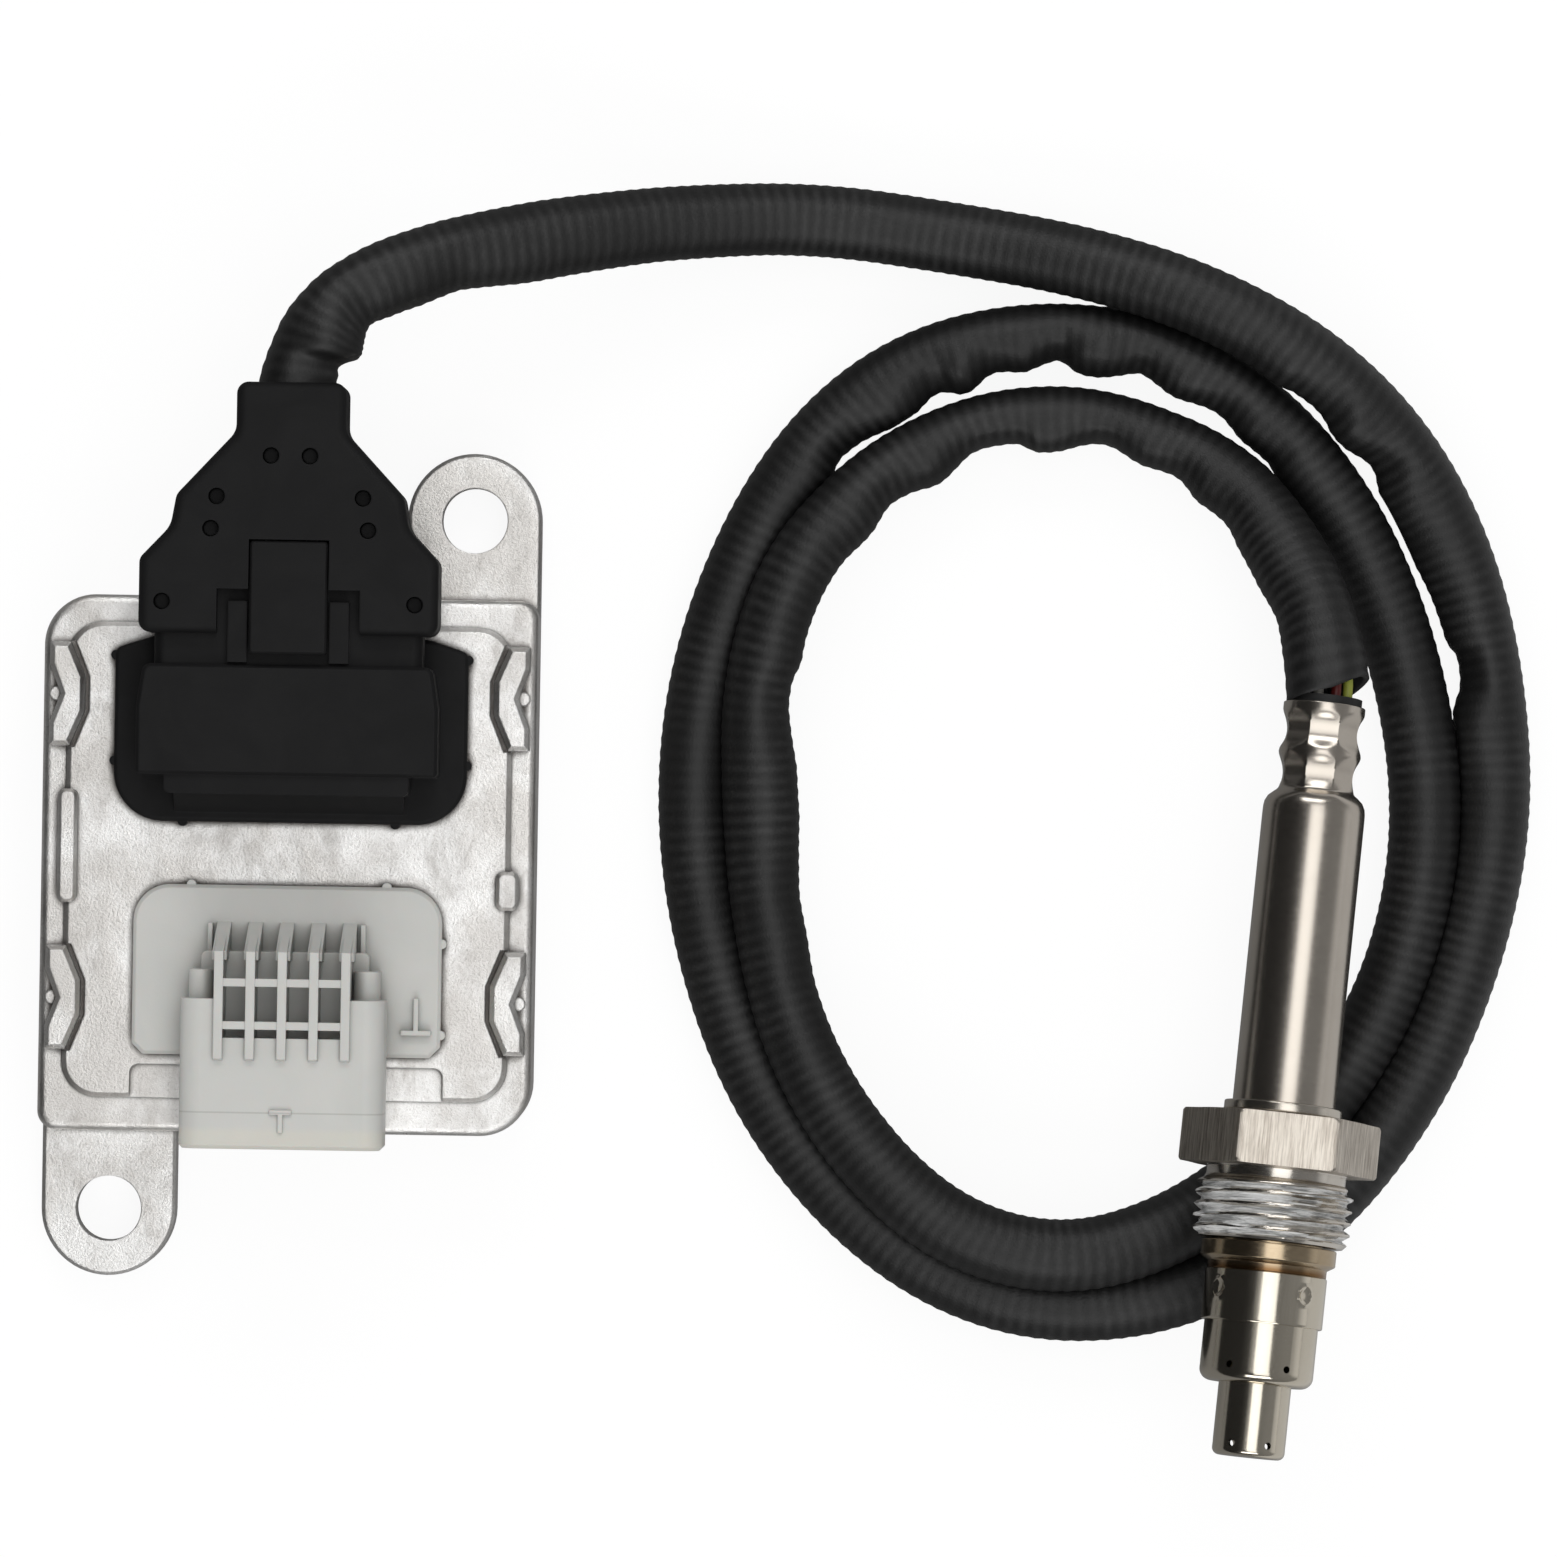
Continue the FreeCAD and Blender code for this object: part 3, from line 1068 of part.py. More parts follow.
def make_contact_holder():
    """Ceramic block that presses the contacts onto the element."""
    block = Part.makeCylinder(SLEEVE_BORE_R - 0.05, HOLDER_Z1 - HOLDER_Z0, V(0, 0, HOLDER_Z0))
    half = ELEMENT_T / 2 + SPRING_T
    wide = ELEMENT_W / 2 + 0.2
    return block.cut(box(-wide, wide, -half, half, HOLDER_Z0 - 1, HOLDER_Z1 + 1))


def contact_springs():
    """Four flat contacts on each face of the element."""
    springs = []
    for side in (-1, 1):
        near = side * ELEMENT_T / 2
        far = side * (ELEMENT_T / 2 + SPRING_T)
        for i in range(4):
            x = (i - 1.5) * SPRING_PITCH
            springs.append(box(x - SPRING_W / 2, x + SPRING_W / 2, min(near, far), max(near, far),
                               HOLDER_Z0 + 0.4, HOLDER_Z1 + 1.5))
    return springs


def packing(z0, z1):
    """Round packing in the shell's bore, pierced for the element."""
    return Part.makeCylinder(SHELL_BORE_R, z1 - z0, V(0, 0, z0)).cut(element_slot(z0 - 1, z1 + 1))


def export(name, shape):
    """Writes one piece, or a group of like pieces, as one file."""
    if isinstance(shape, list):
        shape = Part.makeCompound(shape)
    shape.exportStep("parts/" + name + ".step")
    print(name, "solids", len(shape.Solids), "valid", shape.isValid(), "volume", round(shape.Volume, 1))


def on_probe(shapes):
    """Lays a shape, or each of a list, on the probe's axis in its real place."""
    if isinstance(shapes, list):
        return [in_place(shape) for shape in shapes]
    return in_place(shapes)


def build():
    """Builds every piece and writes it."""
    os.makedirs("parts", exist_ok=True)

    export("module_housing", make_housing())
    export("base_plate", base_plate_slab(0, PLATE_INSET, PLATE_TOP))
    export("base_seal", seal_ring(PLATE_TOP, PLATE_TOP + SEAL_T))
    export("circuit_board", make_board())
    export("board_screws", board_screws())
    export("microcontroller", chip(0.0, 0.0, 5.0, 1.4))
    export("filter_capacitors", filter_capacitors())
    export("heater_drivers", heater_drivers())

    export("sensor_header", make_sensor_header())
    export("sensor_header_pins", sensor_pins())
    export("sensor_header_gasket", sensor_gasket())
    export("vehicle_header", make_vehicle_header())
    export("vehicle_header_pins", vehicle_pins())
    export("vehicle_header_gasket", vehicle_gasket())

    export("plug_body", make_plug_body())
    export("plug_terminals", plug_terminals())
    export("plug_seal", make_plug_seal())
    export("backshell_upper", shell_half(True))
    export("backshell_lower", shell_half(False))
    export("plug_leads", plug_leads())

    export("sensor_cable", make_cable())
    export("lead_wires_green", lead_wires(0, 1))
    export("lead_wires_red", lead_wires(1, 1))
    export("lead_wires_white", lead_wires(2, 3))
    export("lead_wires_grey", lead_wires(5, 3))

    export("wire_grommet", on_probe(make_grommet()))
    export("rear_sleeve", on_probe(make_rear_sleeve()))
    export("contact_holder", on_probe(make_contact_holder()))
    export("contact_springs", on_probe(contact_springs()))
    export("sensing_element", on_probe(element_slot(ELEMENT_REAR, ELEMENT_TIP)))
    export("rear_insulator", on_probe(packing(PACKING_STEPS[0], PACKING_STEPS[1])))
    export("talc_packing", on_probe(packing(PACKING_STEPS[1], PACKING_STEPS[2])))
    export("front_insulator", on_probe(packing(PACKING_STEPS[2], PACKING_STEPS[3])))
    export("metal_shell", on_probe(make_metal_shell()))
    export("nut_retaining_ring", on_probe(ring(SLEEVE_BORE_R, RING_R, RING_Z0, JOURNAL_Z0)))
    export("gland_nut", on_probe(make_gland_nut()))
    export("carrier_tube", on_probe(ring(SPIGOT_R, CARRIER_R, SPIGOT_Z0, CARRIER_END)))
    export("outer_protection_tube", on_probe(make_outer_tube()))
    export("inner_protection_tube", on_probe(make_tip_tube()))


build()
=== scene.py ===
import math

import bpy
import numpy as np
from mathutils import Matrix, Vector, noise


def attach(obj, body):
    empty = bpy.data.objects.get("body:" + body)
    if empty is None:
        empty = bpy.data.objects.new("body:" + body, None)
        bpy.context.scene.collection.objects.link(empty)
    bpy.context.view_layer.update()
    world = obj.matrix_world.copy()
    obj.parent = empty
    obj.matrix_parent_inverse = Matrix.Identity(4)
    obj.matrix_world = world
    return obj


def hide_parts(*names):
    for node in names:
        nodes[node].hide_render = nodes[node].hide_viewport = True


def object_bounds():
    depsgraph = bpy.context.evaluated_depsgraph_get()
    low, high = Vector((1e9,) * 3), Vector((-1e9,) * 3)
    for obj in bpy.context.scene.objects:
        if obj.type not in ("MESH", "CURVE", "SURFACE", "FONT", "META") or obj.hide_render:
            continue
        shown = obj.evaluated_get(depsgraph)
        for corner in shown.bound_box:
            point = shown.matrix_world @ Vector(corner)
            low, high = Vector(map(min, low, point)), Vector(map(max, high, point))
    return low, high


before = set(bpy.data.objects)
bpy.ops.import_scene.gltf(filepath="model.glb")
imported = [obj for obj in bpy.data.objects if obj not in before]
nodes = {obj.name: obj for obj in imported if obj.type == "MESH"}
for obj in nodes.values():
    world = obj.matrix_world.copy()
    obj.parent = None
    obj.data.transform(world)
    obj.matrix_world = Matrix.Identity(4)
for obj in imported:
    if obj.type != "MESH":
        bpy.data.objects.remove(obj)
cad_low, cad_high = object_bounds()


# Camera
# The picture is taken from straight above, 1.2 m over the table, and is turned by about a
# degree against the module. The lens is long enough to bring 200 mm of table into the frame.
CAMERA_UP = 1200
TABLE_SEEN = 200.64
camera = bpy.data.objects.new("camera", bpy.data.cameras.new("camera"))
bpy.context.scene.collection.objects.link(camera)
bpy.context.scene.camera = camera
camera.location = (0.0622988, 0.0120691, CAMERA_UP / 1000)
camera.rotation_euler = (0, 0, math.radians(0.95))
camera.data.lens = camera.data.sensor_width * CAMERA_UP / TABLE_SEEN
camera.data.clip_end = 20
bpy.context.scene.view_settings.view_transform = "Standard"


# Table and studio light
# A white table under a wide softbox to the right, which draws the bright line down round metal,
# with one at its head and foot. The room is darker to the left, with a pale ceiling and right
# wall. Reflections see the table beside the probe, mostly to its left, painted dark: painted shade.
def linear(colour):
    """An sRGB hex colour as linear red, green, blue and alpha."""
    parts = [int(colour[i:i + 2], 16) / 255 for i in (1, 3, 5)]
    return [c / 12.92 if c <= 0.04045 else ((c + 0.055) / 1.055) ** 2.4 for c in parts] + [1]


def add_node(tree, kind, settings=None, links=None):
    """Adds one shader node, with its settings and what is linked into it."""
    made = tree.nodes.new("ShaderNode" + kind)
    for name, value in (settings or {}).items():
        if isinstance(name, str) and hasattr(made, name):
            setattr(made, name, value)
        else:
            made.inputs[name].default_value = value
    for name, source in (links or {}).items():
        tree.links.new(source, made.inputs[name])
    return made


def new_finish(name, **settings):
    """A material with its plain values set on the shader. Gives the material, its tree and shader."""
    made = bpy.data.materials.new(name)
    made.use_nodes = True
    shader = made.node_tree.nodes["Principled BSDF"]
    for key, value in settings.items():
        shader.inputs[key.replace("_", " ")].default_value = value
    return made, made.node_tree, shader


table_mesh = bpy.data.meshes.new("table")
table_mesh.from_pydata([(-4, -4, 0), (4, -4, 0), (4, 4, 0), (-4, 4, 0)], [], [(0, 1, 2, 3)])
table = bpy.data.objects.new("table", table_mesh)
bpy.context.scene.collection.objects.link(table)
table.location.z = cad_low.z - 0.0001
lacquer, tree, shader = new_finish("white_lacquer_board", Roughness=0.8)
shader.inputs["Base Color"].default_value = (0.72, 0.72, 0.72, 1)
rays = add_node(tree, "LightPath")
seen = add_node(tree, "Math", {"operation": "MULTIPLY", 1: 0.86}, {0: rays.outputs["Is Camera Ray"]})
white = add_node(tree, "Emission", {"Strength": 1.06})
seen_white = add_node(tree, "MixShader", {},
                      {0: seen.outputs[0], 1: shader.outputs[0], 2: white.outputs[0]})
places = add_node(tree, "TexCoord").outputs["Object"]
across = add_node(tree, "SeparateXYZ", {}, {0: places})
# Painted shade for reflections: glossy rays see the table left of the probe as a dark emission.
dark_reflection_share = add_node(tree, "MapRange", {"From Min": 0.125, "From Max": 0.15, "To Min": 0.72, "To Max": 0.1},
                  {"Value": across.outputs["X"]})
mirrored = add_node(tree, "Math", {"operation": "MULTIPLY"},
                    {0: dark_reflection_share.outputs[0], 1: rays.outputs["Is Glossy Ray"]})
painted_dark_reflection = add_node(tree, "Emission", {"Strength": 0.05})
mixed = add_node(tree, "MixShader", {},
                 {0: mirrored.outputs[0], 1: seen_white.outputs[0], 2: painted_dark_reflection.outputs[0]})
tree.links.new(mixed.outputs[0], tree.nodes["Material Output"].inputs["Surface"])
table_mesh.materials.append(lacquer)

room = bpy.data.worlds.new("grey_room")
bpy.context.scene.world = room
room.use_nodes = True
tree = room.node_tree
tree.nodes.clear()
rays = add_node(tree, "LightPath")
places = add_node(tree, "TexCoord")
part_ways = add_node(tree, "SeparateXYZ", {}, {0: places.outputs["Generated"]})
wall = add_node(tree, "MapRange", {"From Min": -0.6, "From Max": 0.8, "To Min": 0.02, "To Max": 0.25},
                {"Value": part_ways.outputs["X"]})
far_right = add_node(tree, "MapRange", {"From Min": 0.92, "From Max": 1.0, "To Max": 0.45},
                     {"Value": part_ways.outputs["X"]})
ceiling = add_node(tree, "MapRange", {"From Min": 0.92, "From Max": 0.98, "To Max": 0.42},
                   {"Value": part_ways.outputs["Z"]})
sides = add_node(tree, "Math", {"operation": "ADD"}, {0: wall.outputs[0], 1: far_right.outputs[0]})
whole_room = add_node(tree, "Math", {"operation": "ADD"}, {0: sides.outputs[0], 1: ceiling.outputs[0]})
fill = add_node(tree, "Background", {"Color": (1, 1, 1, 1), "Strength": 0.44})
walls = add_node(tree, "Background", {"Color": (1, 1, 1, 1)}, {"Strength": whole_room.outputs[0]})
paper = add_node(tree, "Background", {"Color": (1, 1, 1, 1), "Strength": 1.0})
lit = add_node(tree, "MixShader", {},
               {0: rays.outputs["Is Glossy Ray"], 1: fill.outputs[0], 2: walls.outputs[0]})
behind = add_node(tree, "MixShader", {},
                  {0: rays.outputs["Is Camera Ray"], 1: lit.outputs[0], 2: paper.outputs[0]})
add_node(tree, "OutputWorld", {}, {0: behind.outputs[0]})

for name, place, width, length, watts in (
    ("softbox_over", (0.30, 0.0, 1.45), 0.80, 1.7, 6.2),
    ("softbox_head", (0.06, 1.3, 1.1), 1.2, 0.5, 7.0),
    ("softbox_foot", (0.06, -1.3, 1.1), 1.2, 0.5, 7.0),
):
    lamp = bpy.data.lights.new(name, "AREA")
    lamp.shape = "RECTANGLE"
    lamp.size = width
    lamp.size_y = length
    lamp.energy = watts
    holder = bpy.data.objects.new(name, lamp)
    bpy.context.scene.collection.objects.link(holder)
    holder.location = place
    aim = Vector((place[0], 0.01, 0)) - Vector(place)
    holder.rotation_euler = aim.to_track_quat("-Z", "Y").to_euler()


# Module housing
# One die casting in aluminium alloy, tumbled and left bare: light silver, cloudy where the metal flowed,
# with darker stains from handling, a painted highlight on every edge and painted shade in its corners.
def near_edge(tree, radius_mm, low, high):
    """From 0 on plain faces to 1 at edges, by how far the surface turns within the radius."""
    plain = add_node(tree, "NewGeometry")
    turned = add_node(tree, "Bevel", {"samples": 6, "Radius": radius_mm / 1000})
    alike = add_node(tree, "VectorMath", {"operation": "DOT_PRODUCT"},
                     {0: plain.outputs["Normal"], 1: turned.outputs[0]})
    return add_node(tree, "MapRange", {"From Min": high, "From Max": low, "To Min": 0.0, "To Max": 1.0},
                    {"Value": alike.outputs["Value"]}).outputs[0]


cast, tree, shader = new_finish("aluminium_die_cast_tumbled", Metallic=1.0)
places = add_node(tree, "TexCoord").outputs["Object"]
clouds = add_node(tree, "TexNoise",
                  {"Scale": 1000 / 14, "Detail": 5.0, "Roughness": 0.6, "Distortion": 0.3},
                  {"Vector": places})
smear_way = add_node(tree, "Mapping", {"Scale": (1.0, 0.5, 1.0), "Rotation": (0, 0, 0.5)},
                     {"Vector": places})
smears = add_node(tree, "TexNoise",
                  {"Scale": 1000 / 5, "Detail": 7.0, "Roughness": 0.72, "Distortion": 0.4},
                  {"Vector": smear_way.outputs[0]})
grit = add_node(tree, "TexNoise", {"Scale": 1000 / 0.3, "Detail": 3.0, "Roughness": 0.75},
                {"Vector": places})
cloudy = add_node(tree, "MapRange", {"From Min": 0.42, "From Max": 0.58}, {"Value": clouds.outputs[0]})
smeared = add_node(tree, "MapRange", {"From Min": 0.52, "From Max": 0.74, "To Max": 0.7},
                   {"Value": smears.outputs[0]})
base = add_node(tree, "Mix", {"data_type": "RGBA", 6: linear("#fdfcfa"), 7: linear("#e3e0dc")},
                {0: cloudy.outputs[0]})
stained = add_node(tree, "Mix", {"data_type": "RGBA", 7: linear("#cdc9c4")},
                   {0: smeared.outputs[0], 6: base.outputs[2]})
speckled = add_node(tree, "MapRange", {"From Min": 0.54, "From Max": 0.72, "To Max": 0.45},
                    {"Value": grit.outputs[0]})
specks = add_node(tree, "Mix", {"data_type": "RGBA", 7: linear("#98928d")},
                  {0: speckled.outputs[0], 6: stained.outputs[2]})
# Corners and creases painted dark, #46413d, from ambient occlusion: painted shade.
corner_occlusion = add_node(tree, "AmbientOcclusion", {"samples": 8, "Distance": 0.0014})
corner_shade_share = add_node(tree, "MapRange", {"From Min": 0.86, "From Max": 0.5, "To Max": 0.95},
                 {"Value": corner_occlusion.outputs["AO"]})
corner_shaded = add_node(tree, "Mix", {"data_type": "RGBA", 7: linear("#46413d")},
                 {0: corner_shade_share.outputs[0], 6: specks.outputs[2]})
# Every edge painted near white, #fbfbfa: a painted highlight.
housing_edge_highlight = add_node(tree, "Math", {"operation": "MULTIPLY", 1: 0.6}, {0: near_edge(tree, 0.28, 0.84, 0.99)})
worn = add_node(tree, "Mix", {"data_type": "RGBA", 7: linear("#fbfbfa")},
                {0: housing_edge_highlight.outputs[0], 6: corner_shaded.outputs[2]})
tree.links.new(worn.outputs[2], shader.inputs["Base Color"])
dull = add_node(tree, "MapRange", {"From Min": 0.3, "From Max": 0.7, "To Min": 0.26, "To Max": 0.48},
                {"Value": smears.outputs[0]})
tree.links.new(dull.outputs[0], shader.inputs["Roughness"])
soft_edge = add_node(tree, "Bevel", {"samples": 6, "Radius": 0.0003})
waves = add_node(tree, "Bump", {"Strength": 0.35, "Distance": 0.0006},
                 {"Height": clouds.outputs[0], "Normal": soft_edge.outputs[0]})
grain = add_node(tree, "Bump", {"Strength": 0.9, "Distance": 0.00008},
                 {"Height": grit.outputs[0], "Normal": waves.outputs[0]})
tree.links.new(grain.outputs[0], shader.inputs["Normal"])


def dress(finish, *names):
    """Gives CAD nodes their finish."""
    for name in names:
        slots = nodes[name].data.materials
        slots.clear()
        slots.append(finish)


dress(cast, "module_housing")


# Base plate and its bead of sealant
# The plate is stamped from rolled aluminium sheet, so it has fine straight roll lines. It is
# bedded on red silicone, the same kind that the headers' gaskets are moulded from.
rolled, tree, shader = new_finish("aluminium_rolled_sheet", Metallic=1.0, Roughness=0.36)
places = add_node(tree, "TexCoord").outputs["Object"]
lines_way = add_node(tree, "Mapping", {"Scale": (0.02, 1.0, 1.0)}, {"Vector": places})
lines = add_node(tree, "TexNoise", {"Scale": 1000 / 0.3, "Detail": 4.0}, {"Vector": lines_way.outputs[0]})
tone = add_node(tree, "Mix", {"data_type": "RGBA", 6: linear("#c4c5c6"), 7: linear("#d8d8d9")},
                {0: lines.outputs[0]})
tree.links.new(tone.outputs[2], shader.inputs["Base Color"])
scratched = add_node(tree, "Bump", {"Strength": 0.3, "Distance": 0.00003}, {"Height": lines.outputs[0]})
tree.links.new(scratched.outputs[0], shader.inputs["Normal"])
dress(rolled, "base_plate")

silicone, tree, shader = new_finish("silicone_moulded_red", Roughness=0.5, IOR=1.43)
places = add_node(tree, "TexCoord").outputs["Object"]
dust = add_node(tree, "TexNoise", {"Scale": 1000 / 1.5, "Detail": 4.0}, {"Vector": places})
tone = add_node(tree, "Mix", {"data_type": "RGBA", 6: linear("#7a3324"), 7: linear("#8c4433")},
                {0: dust.outputs[0]})
tree.links.new(tone.outputs[2], shader.inputs["Base Color"])
dress(silicone, "base_seal", "sensor_header_gasket", "vehicle_header_gasket", "plug_seal")


# Circuit board with its parts and screws
# Glass-epoxy laminate under green solder resist, black epoxy packages, aluminium cans and
# zinc-plated screws. All of it is closed in, and shows only when the base plate is off.
resist, tree, shader = new_finish("glass_epoxy_solder_resist", Roughness=0.32, IOR=1.5)
places = add_node(tree, "TexCoord").outputs["Object"]
weave = add_node(tree, "TexChecker",
                 {"Scale": 1000 / 1.2, "Color1": linear("#1c5a38"), "Color2": linear("#205f3d")},
                 {"Vector": places})
tree.links.new(weave.outputs["Color"], shader.inputs["Base Color"])
dress(resist, "circuit_board")

epoxy, tree, shader = new_finish("epoxy_moulded_black", Roughness=0.55, IOR=1.5)
places = add_node(tree, "TexCoord").outputs["Object"]
speck = add_node(tree, "TexNoise", {"Scale": 1000 / 0.2, "Detail": 2.0}, {"Vector": places})
tone = add_node(tree, "Mix", {"data_type": "RGBA", 6: linear("#1b1b1c"), 7: linear("#262627")},
                {0: speck.outputs[0]})
tree.links.new(tone.outputs[2], shader.inputs["Base Color"])
dress(epoxy, "microcontroller", "heater_drivers")

zinc, tree, shader = new_finish("steel_zinc_plated", Metallic=1.0)
places = add_node(tree, "TexCoord").outputs["Object"]
spangle = add_node(tree, "TexNoise", {"Scale": 1000 / 0.8, "Detail": 3.0}, {"Vector": places})
tone = add_node(tree, "Mix", {"data_type": "RGBA", 6: linear("#b9bcc0"), 7: linear("#cfd1d2")},
                {0: spangle.outputs[0]})
tree.links.new(tone.outputs[2], shader.inputs["Base Color"])
dull = add_node(tree, "MapRange", {"To Min": 0.26, "To Max": 0.4}, {"Value": spangle.outputs[0]})
tree.links.new(dull.outputs[0], shader.inputs["Roughness"])
dress(zinc, "board_screws", "filter_capacitors", "contact_springs")


# Sensor header, plug and backshell
# All are moulded from glass-filled PBT, dyed black. The mould is lightly spark-eroded, so the
# faces are matt and dead even; every edge is painted a little lighter, partly rubbing and partly a painted
# highlight.
black, tree, shader = new_finish("pbt_glass_filled_black", Roughness=0.68, IOR=1.5,
                                 Specular_IOR_Level=0.28)
places = add_node(tree, "TexCoord").outputs["Object"]
spark = add_node(tree, "TexNoise", {"Scale": 1000 / 0.22, "Detail": 3.0}, {"Vector": places})
flow = add_node(tree, "TexNoise", {"Scale": 1000 / 7, "Detail": 4.0, "Distortion": 1.0},
                {"Vector": places})
tone = add_node(tree, "Mix", {"data_type": "RGBA", 6: linear("#0a0a0b"), 7: linear("#111112")},
                {0: flow.outputs[0]})
# Every edge painted lighter, #2a2a2b: painted highlight, partly rubbing.
black_edge_highlight = add_node(tree, "Math", {"operation": "MULTIPLY", 1: 0.5}, {0: near_edge(tree, 0.25, 0.80, 0.99)})
highlit_edge_tone = add_node(tree, "Mix", {"data_type": "RGBA", 7: linear("#2a2a2b")},
                     {0: black_edge_highlight.outputs[0], 6: tone.outputs[2]})
tree.links.new(highlit_edge_tone.outputs[2], shader.inputs["Base Color"])
dull = add_node(tree, "MapRange", {"From Min": 0.3, "From Max": 0.7, "To Min": 0.62, "To Max": 0.74},
                {"Value": flow.outputs[0]})
tree.links.new(dull.outputs[0], shader.inputs["Roughness"])
soft_edge = add_node(tree, "Bevel", {"samples": 6, "Radius": 0.0003})
grain = add_node(tree, "Bump", {"Strength": 0.3, "Distance": 0.00004},
                 {"Height": spark.outputs[0], "Normal": soft_edge.outputs[0]})
tree.links.new(grain.outputs[0], shader.inputs["Normal"])
dress(black, "sensor_header", "plug_body", "backshell_upper", "backshell_lower")

tin, tree, shader = new_finish("brass_tin_plated", Metallic=1.0)
places = add_node(tree, "TexCoord").outputs["Object"]
spangle = add_node(tree, "TexNoise", {"Scale": 1000 / 0.5, "Detail": 3.0}, {"Vector": places})
tone = add_node(tree, "Mix", {"data_type": "RGBA", 6: linear("#cfcdc6"), 7: linear("#dedcd5")},
                {0: spangle.outputs[0]})
tree.links.new(tone.outputs[2], shader.inputs["Base Color"])
dull = add_node(tree, "MapRange", {"To Min": 0.2, "To Max": 0.36}, {"Value": spangle.outputs[0]})
tree.links.new(dull.outputs[0], shader.inputs["Roughness"])
dress(tin, "sensor_header_pins", "vehicle_header_pins", "plug_terminals")


# Vehicle header
# The same PBT in its natural grey. Thin ribs let a little light through, the edges carry a painted
# highlight, the pockets painted shade, and the mould's parting line runs round the socket short of its
# creamier rim.
RIM_FROM = -0.03283
RIM_FULL = -0.03363
PARTING_Y = -0.03109
grey, tree, shader = new_finish("pbt_natural_grey", Roughness=0.45, IOR=1.5, Subsurface_Weight=0.12,
                                Subsurface_Scale=0.0012)
places = add_node(tree, "TexCoord").outputs["Object"]
flow = add_node(tree, "TexNoise", {"Scale": 1000 / 8, "Detail": 5.0, "Distortion": 0.8},
                {"Vector": places})
spark = add_node(tree, "TexNoise", {"Scale": 1000 / 0.3, "Detail": 3.0}, {"Vector": places})
plain_tone = add_node(tree, "Mix", {"data_type": "RGBA", 6: linear("#c0c1bd"), 7: linear("#cecdc9")},
                      {0: flow.outputs[0]})
along = add_node(tree, "SeparateXYZ", {}, {0: places})
rim = add_node(tree, "MapRange", {"From Min": RIM_FROM, "From Max": RIM_FULL, "To Max": 0.5},
               {"Value": along.outputs["Y"]})
banded = add_node(tree, "Mix", {"data_type": "RGBA", 7: linear("#d2cfc2")},
                  {0: rim.outputs[0], 6: plain_tone.outputs[2]})
off_line = add_node(tree, "Math", {"operation": "SUBTRACT", 1: PARTING_Y}, {0: along.outputs["Y"]})
near_line = add_node(tree, "Math", {"operation": "ABSOLUTE"}, {0: off_line.outputs[0]})
parting = add_node(tree, "MapRange", {"From Min": 0.00014, "From Max": 0.00005, "To Max": 0.4},
                   {"Value": near_line.outputs[0]})
tone = add_node(tree, "Mix", {"data_type": "RGBA", 7: linear("#8d8c86")},
                {0: parting.outputs[0], 6: banded.outputs[2]})
# Every edge painted paler, #e0e0db: a painted highlight.
grey_edge_highlight = add_node(tree, "Math", {"operation": "MULTIPLY", 1: 0.6}, {0: near_edge(tree, 0.3, 0.80, 0.99)})
highlit_edge_tone = add_node(tree, "Mix", {"data_type": "RGBA", 7: linear("#e0e0db")},
                     {0: grey_edge_highlight.outputs[0], 6: tone.outputs[2]})
# Pockets and the ribs' feet painted dark, #6e6d68, from ambient occlusion: painted shade.
corner_occlusion = add_node(tree, "AmbientOcclusion", {"samples": 8, "Distance": 0.004})
shaded = add_node(tree, "MapRange", {"From Min": 0.8, "From Max": 0.2, "To Max": 0.7},
                  {"Value": corner_occlusion.outputs["AO"]})
deep = add_node(tree, "Mix", {"data_type": "RGBA", 7: linear("#6e6d68")},
                {0: shaded.outputs[0], 6: highlit_edge_tone.outputs[2]})
tree.links.new(deep.outputs[2], shader.inputs["Base Color"])
soft_edge = add_node(tree, "Bevel", {"samples": 6, "Radius": 0.0003})
grain = add_node(tree, "Bump", {"Strength": 0.25, "Distance": 0.00004},
                 {"Height": spark.outputs[0], "Normal": soft_edge.outputs[0]})
tree.links.new(grain.outputs[0], shader.inputs["Normal"])
dress(grey, "vehicle_header")


